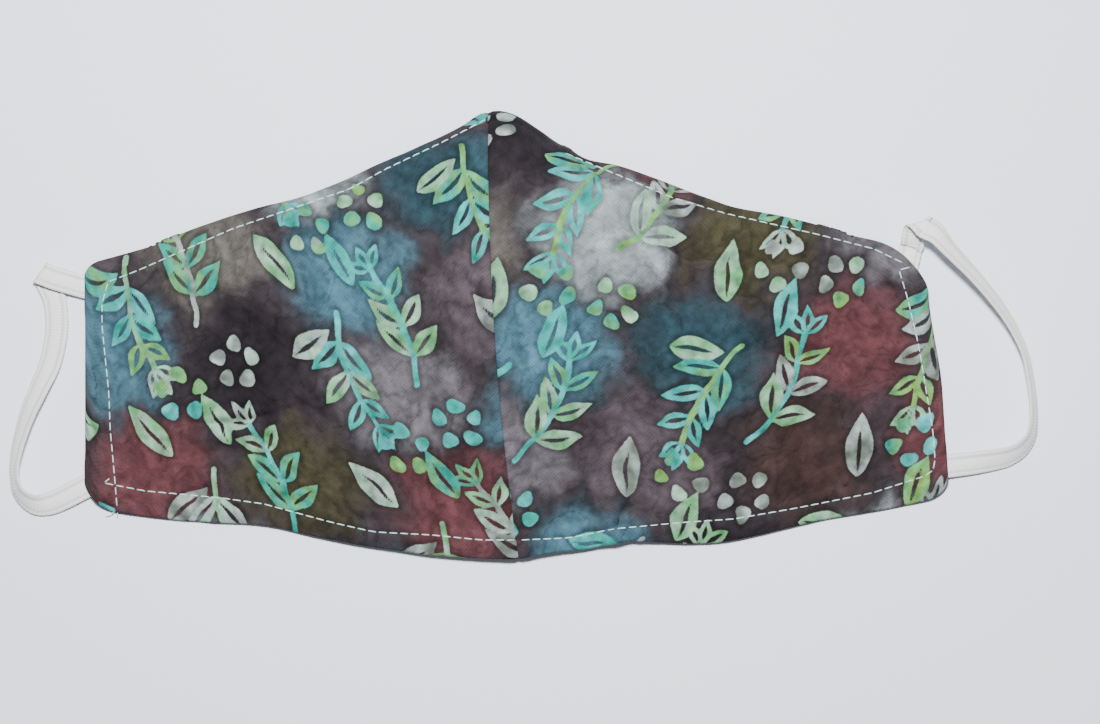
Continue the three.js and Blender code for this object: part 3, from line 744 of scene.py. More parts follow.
def cotton_print_material():
    """Batik-dyed cotton: the ground dye and the waxed motifs come from the piece's own attributes."""
    material, tree, shader = new_material("Batik cotton")
    depth = add_node(tree, "ShaderNodeAttribute", -1500, 500, attribute_name="motif_depth")
    ground = add_node(tree, "ShaderNodeAttribute", -1500, 300, attribute_name="ground_dye")
    ink = add_node(tree, "ShaderNodeAttribute", -1500, 100, attribute_name="motif_dye")
    uv = add_node(tree, "ShaderNodeUVMap", -1700, 700)
    ragged = add_node(tree, "ShaderNodeTexNoise", -1500, 760)
    ragged.inputs["Scale"].default_value = 110
    ragged.inputs["Detail"].default_value = 4
    tree.links.new(uv.outputs[0], ragged.inputs["Vector"])
    rough = join_math(tree, "MULTIPLY_ADD", ragged.outputs["Fac"], 0.44, -1300, 700)
    rough.node.inputs[2].default_value = -0.22
    edge = join_math(tree, "ADD", depth.outputs["Fac"], rough, -1100, 620)
    mask = add_node(tree, "ShaderNodeMapRange", -900, 620, interpolation_type="SMOOTHSTEP")
    mask.inputs["From Min"].default_value = -0.19
    mask.inputs["From Max"].default_value = 0.19
    tree.links.new(edge, mask.inputs["Value"])
    rim = add_node(tree, "ShaderNodeMapRange", -900, 860, interpolation_type="SMOOTHSTEP")
    rim.inputs["From Min"].default_value = -1.9
    rim.inputs["From Max"].default_value = -0.14
    rim.inputs["To Min"].default_value = 1.0
    rim.inputs["To Max"].default_value = 0.6
    tree.links.new(edge, rim.inputs["Value"])
    blotch = add_node(tree, "ShaderNodeTexNoise", -1500, -140)
    blotch.inputs["Scale"].default_value = 26
    blotch.inputs["Detail"].default_value = 6
    blotch.inputs["Roughness"].default_value = 0.62
    tree.links.new(uv.outputs[0], blotch.inputs["Vector"])
    cloudy = add_node(tree, "ShaderNodeMapRange", -1300, -140)
    cloudy.inputs["From Min"].default_value = 0.3
    cloudy.inputs["From Max"].default_value = 0.7
    cloudy.inputs["To Min"].default_value = 0.7
    cloudy.inputs["To Max"].default_value = 1.3
    tree.links.new(blotch.outputs["Fac"], cloudy.inputs["Value"])
    dark = join_math(tree, "MULTIPLY", cloudy.outputs[0], rim.outputs[0], -700, 760)
    ground_shaded = add_node(tree, "ShaderNodeVectorMath", -700, 360, operation="SCALE")
    tree.links.new(ground.outputs["Color"], ground_shaded.inputs[0])
    tree.links.new(dark, ground_shaded.inputs["Scale"])
    ink_shade = join_math(tree, "MULTIPLY_ADD", cloudy.outputs[0], 0.35, -1100, -60)
    ink_shade.node.inputs[2].default_value = 0.65
    ink_shaded = add_node(tree, "ShaderNodeVectorMath", -700, 120, operation="SCALE")
    tree.links.new(ink.outputs["Color"], ink_shaded.inputs[0])
    tree.links.new(ink_shade, ink_shaded.inputs["Scale"])
    dyed = mix_colours(tree, mask.outputs[0], ground_shaded.outputs[0], ink_shaded.outputs[0], -500, 300)
    weave = add_weave(tree, THREAD_PITCH)
    # The weave's Shade output scales the dye: random slub tone, and painted shade that lightens the raised
    # threads
    slub_tone_and_thread_shade = add_node(tree, "ShaderNodeMapRange", -700, -160)
    slub_tone_and_thread_shade.inputs["To Min"].default_value = 0.72
    slub_tone_and_thread_shade.inputs["To Max"].default_value = 1.25
    tree.links.new(weave.outputs["Shade"], slub_tone_and_thread_shade.inputs["Value"])
    woven = add_node(tree, "ShaderNodeVectorMath", -300, 260, operation="SCALE")
    tree.links.new(dyed, woven.inputs[0])
    tree.links.new(slub_tone_and_thread_shade.outputs[0], woven.inputs["Scale"])
    tree.links.new(woven.outputs[0], shader.inputs["Base Color"])
    shader.inputs["Roughness"].default_value = 0.85
    shader.inputs["Specular IOR Level"].default_value = 0.12
    crumple = add_node(tree, "ShaderNodeTexNoise", -900, -620)
    crumple.inputs["Scale"].default_value = 22
    crumple.inputs["Detail"].default_value = 5
    tree.links.new(uv.outputs[0], crumple.inputs["Vector"])
    soft = add_node(tree, "ShaderNodeBump", -600, -620)
    soft.inputs["Strength"].default_value = 0.35
    soft.inputs["Distance"].default_value = CRUMPLE_DEPTH
    tree.links.new(crumple.outputs["Fac"], soft.inputs["Height"])
    add_bump(tree, shader, weave.outputs["Height"], 0.35, WEAVE_DEPTH, soft.outputs[0])
    return material


def lining_material():
    """Plain dyed cotton for the side that faces the wearer."""
    material, tree, shader = new_material("Lining cotton")
    uv = add_node(tree, "ShaderNodeUVMap", -1300, 200)
    blotch = add_node(tree, "ShaderNodeTexNoise", -1100, 200)
    blotch.inputs["Scale"].default_value = 18
    blotch.inputs["Detail"].default_value = 5
    tree.links.new(uv.outputs[0], blotch.inputs["Vector"])
    weave = add_weave(tree, THREAD_PITCH)
    dark, light = ((*dye(rgb), 1) for rgb in LINING_DYES)
    colour = mix_colours(tree, blotch.outputs["Fac"], dark, light, -600, 200)
    # The weave's Shade output scales the dye: random slub tone, and painted shade that lightens the raised
    # threads
    slub_tone_and_thread_shade = add_node(tree, "ShaderNodeMapRange", -600, -60)
    slub_tone_and_thread_shade.inputs["To Min"].default_value = 0.75
    slub_tone_and_thread_shade.inputs["To Max"].default_value = 1.2
    tree.links.new(weave.outputs["Shade"], slub_tone_and_thread_shade.inputs["Value"])
    woven = add_node(tree, "ShaderNodeVectorMath", -300, 200, operation="SCALE")
    tree.links.new(colour, woven.inputs[0])
    tree.links.new(slub_tone_and_thread_shade.outputs[0], woven.inputs["Scale"])
    tree.links.new(woven.outputs[0], shader.inputs["Base Color"])
    shader.inputs["Roughness"].default_value = 0.88
    shader.inputs["Specular IOR Level"].default_value = 0.12
    add_bump(tree, shader, weave.outputs["Height"], 0.4, WEAVE_DEPTH)
    return material


def thread_material(rgb):
    """Pale sewing thread with a faint twist."""
    material, tree, shader = new_material("Topstitch thread")
    place = add_node(tree, "ShaderNodeTexCoord", -900, 0)
    fuzz = add_node(tree, "ShaderNodeTexNoise", -700, 0)
    fuzz.inputs["Scale"].default_value = 2600
    tree.links.new(place.outputs["Object"], fuzz.inputs["Vector"])
    dark = tuple(0.72 * c for c in rgb)
    colour = mix_colours(tree, fuzz.outputs["Fac"], (*dark, 1), (*rgb, 1), -400, 100)
    tree.links.new(colour, shader.inputs["Base Color"])
    shader.inputs["Roughness"].default_value = 0.55
    shader.inputs["Sheen Weight"].default_value = 0.2
    add_bump(tree, shader, fuzz.outputs["Fac"], 0.5, 0.00008)
    return material


def elastic_material(rgb):
    """White knitted elastic: soft yarn over a rubber core, a little grey of painted shade in the hollows
    between the ribs.
    """
    material, tree, shader = new_material("Knitted elastic")
    uv = add_node(tree, "ShaderNodeUVMap", -1300, 200)
    fuzz = add_node(tree, "ShaderNodeTexNoise", -1100, 200)
    fuzz.inputs["Scale"].default_value = 800
    fuzz.inputs["Detail"].default_value = 3
    tree.links.new(uv.outputs[0], fuzz.inputs["Vector"])
    groove_shade = add_node(tree, "ShaderNodeAttribute", -1100, -60, attribute_name="groove_shade")
    # Painted shade: the knit's hollows are darkened towards a darker copy of the elastic's colour
    shade = join_math(tree, "MULTIPLY_ADD", fuzz.outputs["Fac"], 0.3, -800, 200)
    tree.links.new(groove_shade.outputs["Fac"], shade.node.inputs[2])
    dark = tuple(0.55 * c for c in rgb)
    colour = mix_colours(tree, shade, (*rgb, 1), (*dark, 1), -500, 200)
    tree.links.new(colour, shader.inputs["Base Color"])
    shader.inputs["Roughness"].default_value = 0.7
    shader.inputs["Sheen Weight"].default_value = 0.3
    add_bump(tree, shader, fuzz.outputs["Fac"], 0.4, 0.0001)
    return material


# The panels: the steps of their grids, and the wall and its rounded edge in millimetres
PANEL_COLUMNS = 220
CORNER_COLUMNS = 28
RISE_ROWS = 172
ROLL_ROWS = 50
NORMAL_STEP = 0.003
CREASE_STEPS = 8
WALL_MOST = 3.4
EDGE_ROUND = 0.8
SEAM_SIDE = 0.02
PANEL_MERGE = 0.00001  # in metres
FAR = 1e9
# Small relief of the cloth in millimetres: how high it stands, how wide it is and how far in its ridges lie.
# A crease stands higher than its row says, by its gain
WANDER_RISE = 0.8
WANDER_SIZE = 22
CRUMPLE_RISE = 0.34
CRUMPLE_SIZE = 7.5
CREASE_GAIN = 3.2
GATHER_RISE = 0.22
GATHER_SIZE = 4.2
GATHER_STRETCH = (1, 0.35)
GATHER_WIDTH = 3.2
HEM_RISE = 0.2
HEM_RIDGE_IN = 2.8
HEM_RIDGE_WIDTH = 1.8
SEAM_RISE = 0.22
SEAM_RIDGE_IN = 2.6
SEAM_RIDGE_WIDTH = 2.0
SEAM_DIP = 0.55
SEAM_DIP_WIDTH = 0.55
STITCH_DIP = 0.35
STITCH_DIP_WIDTH = 0.75


def nearest_on_line(at, line):
    """How far points are from a line of points, in the units of both, and how far along it, as a share."""
    points = [np.array(p, float) for p in line]
    best, share = np.full(len(at), FAR), np.zeros(len(at))
    for i, (a, b) in enumerate(zip(points, points[1:])):
        run = b - a
        s = np.clip((at - a) @ run / (run @ run), 0, 1)
        away = np.hypot(*(at - a - s[:, None] * run).T)
        closer = away < best
        best[closer], share[closer] = away[closer], (i + s[closer]) / (len(points) - 1)
    return best, share


def crease_rise(at):
    """How far the creases lift the cloth at points in photo pixels, in millimetres."""
    rise = np.zeros(len(at))
    t = np.linspace(0, 1, CREASE_STEPS + 1)[:, None]
    for start, middle, end, half_width, high in CREASES.values():
        start, middle, end = (np.array(p, float) for p in (start, middle, end))
        control = 2 * middle - (start + end) / 2
        line = (1 - t) ** 2 * start + 2 * t * (1 - t) * control + t**2 * end
        away, share = nearest_on_line(at, line)
        rise += high * np.sin(share * math.pi) ** 0.7 * np.exp(-((away / PIXELS_PER_MM / half_width) ** 2))
    return rise


def panel_grid(panel):
    """How far out a panel's fine grid is, its underside and its outward normals, as rows by columns."""
    radius = max(panel.top_radius, panel.foot_radius)
    body = 1 - radius / panel.width
    out = np.concatenate(
        [
            np.linspace(0, body, PANEL_COLUMNS - CORNER_COLUMNS + 1)[:-1],
            body + (1 - body) * np.sin(np.linspace(0, math.pi / 2, CORNER_COLUMNS + 1)),
        ]
    )
    along = np.concatenate([np.linspace(0, 1, RISE_ROWS + 1)[:-1], np.linspace(1, 2, ROLL_ROWS + 1)])
    out, along = np.meshgrid(out, along)
    shape = out.shape

    def at(o, a):
        """The underside at those stations."""
        return underside(panel, o.ravel(), a.ravel()).reshape(*shape, 3)

    step = NORMAL_STEP
    under = at(out, along)
    across = at(np.minimum(out + step, 1), along) - at(np.maximum(out - step, 0), along)
    up = at(out, np.minimum(along + step, 2)) - at(out, np.maximum(along - step, 0))
    normal = np.cross(across, up) * panel.side
    length = np.linalg.norm(normal, axis=-1, keepdims=True)
    normal = normal / np.maximum(length, 1e-9)
    return out, under, normal


def grid_distances(panel, out, under):
    """Distance along the cloth from each point to the nearest hem edge, and the height up the cloth."""
    steps = np.linalg.norm(np.diff(under, axis=0), axis=-1)
    up = np.vstack([np.zeros((1, under.shape[1])), np.cumsum(steps, axis=0)])
    edge = np.minimum(np.minimum(up, up[-1] - up), (1 - out) * panel.width)
    return edge, up


def make_panel(panel, materials):
    """A panel's piece: a grid laid over its shape, given its small relief, its print and its wall."""
    out, under, normal = panel_grid(panel)
    edge, up = grid_distances(panel, out, under)
    wall = wall_at(panel, under[..., 0], under[..., 1], edge)
    round_off = np.sqrt(np.clip(1 - (1 - np.clip(edge / EDGE_ROUND, 0, 1)) ** 2, 0, 1))
    steep_wall = np.clip(1 - normal[..., 2], 0, 1) * wall * (1 - round_off) / 2
    middle = under + normal * (wall / 2 + steep_wall)[..., None] + SEAM_FOOT
    pixels = photo_pixels(under + normal * wall[..., None] + SEAM_FOOT)

    flat_pixels = pixels.reshape(-1, 2)
    lines = STITCH_LINES[panel.name].values()
    stitch = np.min([nearest_on_line(flat_pixels, line)[0] for line in lines], axis=0)
    stitch = (stitch / PIXELS_PER_MM).reshape(out.shape)
    seam = out * panel.width
    plan = under[..., :2].reshape(-1, 2)
    wander = soft_noise(plan, WANDER_SIZE, 2.2 + panel.side).reshape(out.shape)
    crumple = soft_noise(plan, CRUMPLE_SIZE, 5.1 + panel.side).reshape(out.shape)
    gather = soft_noise(plan * GATHER_STRETCH, GATHER_SIZE, 7.7 + panel.side).reshape(out.shape)
    inside = smoothstep(edge, 5, 16) * smoothstep(seam, 0, 6)
    lift = WANDER_RISE * wander * inside + CRUMPLE_RISE * crumple * inside
    lift += CREASE_GAIN * crease_rise(flat_pixels).reshape(out.shape) * smoothstep(seam, 0, 6)
    lift += GATHER_RISE * gather * hump(stitch, 0, GATHER_WIDTH) * smoothstep(edge, 0, 2)
    lift -= STITCH_DIP * hump(stitch, 0, STITCH_DIP_WIDTH)
    lift += HEM_RISE * hump(edge, HEM_RIDGE_IN, HEM_RIDGE_WIDTH)
    seam_ridge = SEAM_RISE * hump(seam, SEAM_RIDGE_IN, SEAM_RIDGE_WIDTH)
    lift += seam_ridge - SEAM_DIP * hump(seam, 0, SEAM_DIP_WIDTH)
    lift *= smoothstep(wall / 2 + middle[..., 2], 0.4, 2.0)
    middle += normal * lift[..., None]
    middle[..., 2] = np.maximum(middle[..., 2], wall * round_off / 2)
    seam_side = seam_x(under[..., 1]) + SEAM_FOOT[0] + panel.side * SEAM_SIDE
    middle[..., 0] = np.where(out == 0, seam_side, middle[..., 0])

    obj, column, row = add_grid(f"cloth_{panel.name}", PANEL_COLUMNS, RISE_ROWS + ROLL_ROWS)
    if panel.side < 0:
        column = PANEL_COLUMNS - column
    pick = (row, column)
    place_vertices(obj, middle[pick])
    cloth = np.stack([out * panel.width * panel.side, up], axis=-1)[pick]
    set_uv(obj, cloth / 100)
    depth, ink = motif_layers(cloth, panel)
    ground = ground_layer(cloth, panel)
    opaque = np.ones((len(depth), 1))
    set_attribute(obj, "motif_depth", "FLOAT", depth)
    set_attribute(obj, "motif_dye", "FLOAT_COLOR", np.hstack([ink, opaque]))
    set_attribute(obj, "ground_dye", "FLOAT_COLOR", np.hstack([ground, opaque]))
    group = obj.vertex_groups.new(name="wall")
    weight = np.clip(wall * round_off / WALL_MOST, 0, 1)[pick]
    for i, w in enumerate(weight):
        group.add([i], float(w), "REPLACE")
    for material in materials:
        obj.data.materials.append(material)
    solid = obj.modifiers.new("wall", "SOLIDIFY")
    solid.thickness = WALL_MOST * MM
    solid.offset = 0
    solid.use_even_offset = False
    solid.vertex_group = "wall"
    solid.thickness_vertex_group = 0
    solid.material_offset = 1
    apply_modifiers(obj)
    merge_doubles(obj, PANEL_MERGE)
    for polygon in obj.data.polygons:
        polygon.use_smooth = True
    return obj


# The topstitching, and the loose ends of its thread in millimetres of the row frame
THREAD_TAILS = {
    "left": (
        ((-110.2, -44.6, 2.1), (-110.4, -46.3, 1.3), (-111.3, -47.4, 0.6), (-113.0, -47.9, 0.35)),
        ((-110.0, -44.8, 2.1), (-109.6, -46.6, 1.1), (-109.7, -48.2, 0.4)),
    ),
    "right": (
        ((-0.6, -55.8, 3.6), (0.2, -55.2, 4.2), (0.9, -55.6, 4.0)),
        ((-0.5, -56.4, 3.6), (0.1, -57.2, 3.4)),
    ),
}
STITCH_LENGTH = 2.6
STITCH_PITCH = 2.9
STITCH_START = 0.06  # where a stitch starts, as a share of its pitch
STITCH_LIFT = 0.06
THREAD = 0.35


def seen_point(cloth, pixel):
    """The place and normal of the cloth that shows at a photo pixel, or nothing."""
    eye = Vector((CAMERA_XY[0], CAMERA_XY[1], CAMERA_HEIGHT))
    aim = Vector(
        (
            CAMERA_XY[0] + (pixel[0] - PHOTO_SIZE[0] / 2) / PIXELS_PER_MM,
            CAMERA_XY[1] - (pixel[1] - PHOTO_SIZE[1] / 2) / PIXELS_PER_MM,
            0,
        )
    )
    hit, place, normal, _ = cloth.ray_cast(eye * MM, aim - eye)
    return (np.array(place) / MM, np.array(normal)) if hit else None


def stitch_places(line, cloth):
    """Start, end and normal of each stitch along a line of photo pixels, on the cloth."""
    points = np.array(line, float)
    reach = np.concatenate([[0], np.cumsum(np.hypot(*np.diff(points, axis=0).T))])
    count = max(int(round(reach[-1] / STITCH_PITCH / PIXELS_PER_MM)), 1)
    pitch = reach[-1] / count
    for i in range(count):
        ends = [(i + STITCH_START) * pitch, (i + STITCH_START + STITCH_LENGTH / STITCH_PITCH) * pitch]
        pixels = [(np.interp(s, reach, points[:, 0]), np.interp(s, reach, points[:, 1])) for s in ends]
        found = [seen_point(cloth, p) for p in pixels]
        if None not in found:
            (start, up), (end, end_up) = found
            yield start, end, up + end_up


def make_stitch():
    """One stitch of unit length along X: a thread that bows up and tucks its ends into the cloth."""
    deselect()
    bpy.ops.mesh.primitive_cylinder_add(
        vertices=8, radius=0.5, depth=1, end_fill_type="TRIFAN", rotation=(0, math.pi / 2, 0)
    )
    stitch = bpy.context.object
    only(stitch)
    bpy.ops.object.transform_apply(location=True, rotation=True, scale=True)
    bpy.ops.object.mode_set(mode="EDIT")
    for x in (-0.3, -0.1, 0.1, 0.3):
        bpy.ops.mesh.select_all(action="SELECT")
        bpy.ops.mesh.bisect(plane_co=(x, 0, 0), plane_no=(1, 0, 0))
    bpy.ops.mesh.select_all(action="DESELECT")
    bpy.ops.object.mode_set(mode="OBJECT")
    for v in stitch.data.vertices:
        share = abs(v.co.x) * 2
        thin = 1 - 0.35 * share**3
        v.co.y *= thin
        v.co.z = v.co.z * thin - 0.75 * share**3
    return stitch


def make_stitches(name, lines, tails, cloth, material):
    """One piece with every stitch along the lines, and the loose ends of the thread."""
    proto = make_stitch()
    copies = []
    runs = [place for line in lines for place in stitch_places(line, cloth)]
    if not runs:
        raise RuntimeError(f"no stitch of {name} lands on the cloth")
    for tail in tails:
        points = [np.array(p, float) for p in tail]
        runs += [(a, b, np.array((0, 0, 1.0))) for a, b in zip(points, points[1:])]
    for start, end, up in runs:
        along = Vector((end - start) * MM)
        up = Vector(up).normalized()
        across = up.cross(along).normalized()
        lifted = across.cross(along.normalized()) * -1
        copy = proto.copy()
        copy.data = proto.data.copy()
        place = Matrix.Identity(4)
        for axis, vector in enumerate((along, across * THREAD * MM, lifted * THREAD * MM)):
            for row in range(3):
                place[row][axis] = vector[row]
        place.translation = Vector((start + end) / 2 * MM) + up * (STITCH_LIFT * MM)
        copy.data.transform(place)
        if place.to_3x3().determinant() < 0:
            copy.data.flip_normals()
        bpy.context.collection.objects.link(copy)
        copies.append(copy)
    deselect()
    for copy in copies:
        copy.select_set(True)
    bpy.context.view_layer.objects.active = copies[0]
    bpy.ops.object.join()
    run = bpy.context.object
    run.name = run.data.name = name
    bpy.data.objects.remove(proto)
    run.data.materials.append(material)
    for polygon in run.data.polygons:
        polygon.use_smooth = True
    return run


# The ear loops: reach, then the fold's heading, radius and way, and the rows that the elastic runs through.
# A row's columns are the share of the reach out, the share down from the upper pocket to the lower, the lift
# in millimetres and the tilt in degrees
LOOP_ROWS = {
    "left": {
        "panel": LEFT,
        "reach": 19.0,
        "crease": 54.8,
        "radius": 1.15,
        "up": False,
        "rise": ((0.26, -0.024, 1.9, 0), (0.44, -0.043, 2.5, 0), (0.579, -0.062, 2.7, 0)),
        "fall": (
            (0.476, 0.05, 0.35, 0), (0.436, 0.13, 0.2, 4), (0.43, 0.2, 0.1, 8), (0.45, 0.27, 0.1, 10),
            (0.525, 0.388, 0.1, 14), (0.672, 0.511, 0.1, 28), (0.82, 0.632, 0.1, 38), (0.93, 0.756, 0.1, 48),
            (1.0, 0.877, 0.1, 57), (1.0, 0.966, 0.1, 60), (0.93, 1.04, 0.1, 50), (0.74, 1.091, 0.1, 30),
            (0.54, 1.09, 0.2, 14), (0.31, 1.057, 0.7, 5),
        ),
    },
    "right": {
        "panel": RIGHT,
        "reach": 22.8,
        "crease": 18.4,
        "radius": 1.3,
        "up": True,
        "rise": ((-0.42, -0.02, 2.0, 0), (-0.42, -0.055, 3.2, 0), (-0.405, -0.085, 4.1, 0)),
        "fall": (
            (-0.17, -0.064, 5.6, 24), (-0.015, 0.004, 4.4, 42), (0.25, 0.11, 3.2, 52),
            (0.485, 0.213, 2.1, 56), (0.675, 0.31, 1.1, 60), (0.815, 0.405, 0.5, 64),
            (0.91, 0.495, 0.2, 66), (0.965, 0.603, 0.1, 66), (0.996, 0.697, 0.1, 65),
            (1.0, 0.797, 0.1, 62), (0.965, 0.866, 0.1, 54), (0.87, 0.918, 0.1, 44),
            (0.74, 0.95, 0.1, 34), (0.6, 0.966, 0.2, 26), (0.3, 0.985, 0.7, 12),
        ),
    },
}
STATION = 0.24  # along the elastic, in millimetres
COURSE = 0.8  # from one course of the knit to the next
RIBS = 5
RING = 36
ELASTIC_MERGE = 0.000002  # in metres
ROUND_ACROSS = 0.55  # how square the ribbon's section is, from 0, square, to 1, round
ROUND_THROUGH = 0.35
ZIGZAG_TURN = 0.9
# How dark the painted shade in the knit's hollows is: all over, and less on its ribs and stitches
GROOVE_SHADE = 0.34
GROOVE_SHADE_RIB = 0.4
GROOVE_SHADE_ZIGZAG = 0.26
# Relief of the knit, in millimetres
EDGE_DRAW = 0.04
COURSE_SWELL = 0.07
RIB_RISE = 0.09
ZIGZAG_RISE = 0.05
KNIT_DRAW = 0.06


def loop_point(loop, out, down, lift, tilt):
    """Where one of a loop's rows puts the middle of the elastic."""
    panel = loop["panel"]
    upper, lower = (pocket_mouth(panel, p) for p in panel.pockets)
    lying = ELASTIC_THICK / 2 + ELASTIC_WIDTH / 2 * math.sin(math.radians(abs(tilt)))
    x = lower[0] + panel.side * loop["reach"] * out
    return np.array([x, lerp(upper[1], lower[1], down), lying + lift])


def pocket_points(panel, pocket):
    """Where the elastic ends inside a pocket, and where it leaves it."""
    mouth = pocket_mouth(panel, pocket)
    return [np.array([*p, POCKET_HEIGHT]) for p in (mouth - heading(pocket[2]) * POCKET_DEPTH, mouth)]


def smooth_curve(points, share):
    """A point of the even curve through points, at a share of its rows."""
    at = min(share * (len(points) - 1), len(points) - 1 - 1e-9)
    i = int(at)
    t = at - i
    p1, p2 = points[i], points[i + 1]
    p0 = points[i - 1] if i else 2 * p1 - p2
    p3 = points[i + 2] if i + 2 < len(points) else 2 * p2 - p1
    v0, v1 = (p2 - p0) / 2, (p3 - p1) / 2
    return (2 * p1 - 2 * p2 + v0 + v1) * t**3 + (-3 * p1 + 3 * p2 - 2 * v0 - v1) * t**2 + v0 * t + p1


def unit(v):
    """A vector at length 1."""
    return v / np.linalg.norm(v)


def run_stations(points, tilts, handed):
    """Middle, sideways and outward directions at even steps of the elastic through points."""
    length = sum(np.linalg.norm(b - a) for a, b in zip(points, points[1:]))
    count = int(length / STATION)
    stations = []
    for i in range(count + 1):
        at = i / count
        tangent = unit(smooth_curve(points, min(at + 1e-4, 1)) - smooth_curve(points, max(at - 1e-4, 0)))
        tilt = math.radians(np.interp(at * (len(points) - 1), range(len(points)), tilts))
        across = unit(np.array([-tangent[1], tangent[0], 0])) * handed * math.cos(tilt)
        across[2] = -math.sin(tilt)
        across = unit(across - across.dot(tangent) * tangent)
        stations.append((smooth_curve(points, at), across, np.cross(tangent, across)))
    return stations


def fold_stations(loop, start, along, across):
    """The same where the elastic folds over on itself."""
    crease = np.array([*heading(loop["crease"]), 0])
    onward = np.array([-crease[1], crease[0], 0])
    rise = np.array([0, 0, 1 if loop["up"] else -1])
    slide = loop["radius"] * along.dot(crease) / along.dot(onward)
    count = int(math.pi * loop["radius"] / STATION) + 6
    stations = []
    for i in range(1, count + 1):
        turn = i / count * math.pi
        middle = start + crease * slide * turn + onward * loop["radius"] * math.sin(turn)
        middle = middle + rise * loop["radius"] * (1 - math.cos(turn))

        def turned(v):
            kept = crease * v.dot(crease)
            return kept + onward * v.dot(onward) * math.cos(turn) + rise * v.dot(onward) * math.sin(turn)

        side = turned(across)
        stations.append((middle, side, np.cross(turned(along), side)))
    return stations


def loop_stations(loop):
    """The whole of one ear loop, from its upper pocket over the fold to its lower pocket."""
    panel = loop["panel"]
    handed = -panel.side
    upper = pocket_points(panel, panel.pockets[0])
    lower = pocket_points(panel, panel.pockets[1])[::-1]
    rise_points = upper + [loop_point(loop, *r) for r in loop["rise"]]
    rise = run_stations(rise_points, [0] * len(rise_points), handed)
    level = rise_points[-1] - rise_points[-2]
    level = unit(np.array([level[0], level[1], 0]))
    side = np.array([-level[1], level[0], 0]) * handed
    fold = fold_stations(loop, rise[-1][0], level, side)
    fall_points = [fold[-1][0]] + [loop_point(loop, *r) for r in loop["fall"]] + lower
    tilts = [0] + [r[3] for r in loop["fall"]] + [0, 0]
    fall = run_stations(fall_points, tilts, -handed)[1:]
    return rise + fold + fall


def make_ear_loop(name, material):
    """An ear loop's piece: a closed ribbon with the ribs and courses of its knit."""
    stations = loop_stations(LOOP_ROWS[name])
    angle = np.arange(RING) / RING * 2 * math.pi
    c, s = np.cos(angle), np.sin(angle)
    across = np.sign(c) * np.abs(c) ** ROUND_ACROSS
    through = np.sign(s) * np.abs(s) ** ROUND_THROUGH
    rings, groove_shades, travelled = [], [], 0.0
    for i, (middle, side, out) in enumerate(stations):
        if i:
            travelled += np.linalg.norm(middle - stations[i - 1][0])
        turn = travelled / COURSE * 2 * math.pi
        beat = math.cos(turn)
        zigzag = np.cos(turn + ZIGZAG_TURN * np.sin(across * RIBS * math.pi))
        rib = np.cos(across * RIBS * math.pi)
        flat = np.abs(s) ** 0.5
        half_width = ELASTIC_WIDTH / 2 - EDGE_DRAW + COURSE_SWELL * beat
        half_thick = ELASTIC_THICK / 2 + (RIB_RISE * rib + ZIGZAG_RISE * zigzag - KNIT_DRAW) * flat
        rings.append(
            middle + side * (across * half_width)[:, None] + out * (through * half_thick)[:, None] + SEAM_FOOT
        )
        # Painted shade in the hollows between the knit's ribs and courses, less on the ribbon's narrow edges
        groove_shade = np.clip(GROOVE_SHADE - GROOVE_SHADE_RIB * rib - GROOVE_SHADE_ZIGZAG * zigzag, 0, 1)
        groove_shades.append(groove_shade * (0.3 + 0.7 * flat))
    rows = len(rings) - 1
    obj, column, row = add_grid(f"elastic_{name}", RING, rows)
    rings, groove_shades = np.array(rings), np.array(groove_shades)
    pick = (row, column % RING)
    place_vertices(obj, rings[pick])
    set_uv(obj, np.stack([column / RING * 0.14, row * STATION / 100], axis=-1))
    set_attribute(obj, "groove_shade", "FLOAT", groove_shades[pick])
    merge_doubles(obj, ELASTIC_MERGE)
    only(obj)
    bpy.ops.object.mode_set(mode="EDIT")
    bpy.ops.mesh.select_mode(type="EDGE")
    bpy.ops.mesh.select_non_manifold(extend=False, use_boundary=True)
    bpy.ops.mesh.edge_face_add()
    bpy.ops.mesh.select_all(action="SELECT")
    bpy.ops.mesh.normals_make_consistent(inside=False)
    bpy.ops.mesh.select_mode(type="VERT")
    bpy.ops.object.mode_set(mode="OBJECT")
    obj.data.materials.append(material)
    for polygon in obj.data.polygons:
        polygon.use_smooth = len(polygon.vertices) <= 4
    return obj


# The stage, in metres
TABLE_SIZE = 4
TABLE_DROP = 0.00005
KEY_PLACE = (0.0, 0.17, 0.6)
KEY_AIM = Vector((0, -0.02, 0))
KEY_SIZE = 0.09
ROOM_COLOUR = (0.93, 0.95, 1.0, 1)
SENSOR = 23.5  # in millimetres


# Settings that a user would change
class MASK_PG_cloth(bpy.types.PropertyGroup):
    """The cotton panels."""

    flat_width: bpy.props.FloatProperty(
        name="Cut width",
        description="Width of one panel as cut, from its seam to its side hem",
        default=0.121,
        unit="LENGTH",
    )
    flat_height: bpy.props.FloatProperty(
        name="Cut height",
        description="Height of one panel as cut, at its tallest",
        default=0.134,
        unit="LENGTH",
    )


class MASK_PG_trim(bpy.types.PropertyGroup):
    """The thread and the elastic."""

    thread: bpy.props.FloatVectorProperty(
        name="Thread", description="Colour of the topstitching", subtype="COLOR", default=(0.42, 0.60, 0.60)
    )
    elastic: bpy.props.FloatVectorProperty(
        name="Elastic", description="Colour of the ear loops", subtype="COLOR", default=(0.73, 0.74, 0.72)
    )


class MASK_PG_stage(bpy.types.PropertyGroup):
    """The table, the light and the camera."""

    table: bpy.props.FloatVectorProperty(
        name="Table", description="Colour of the table", subtype="COLOR", default=(0.71, 0.73, 0.81)
    )
    key_power: bpy.props.FloatProperty(
        name="Key light", description="Power of the key light", default=12.0, unit="POWER"
    )
    fill: bpy.props.FloatProperty(name="Fill", description="Brightness of the room", default=0.25, min=0)


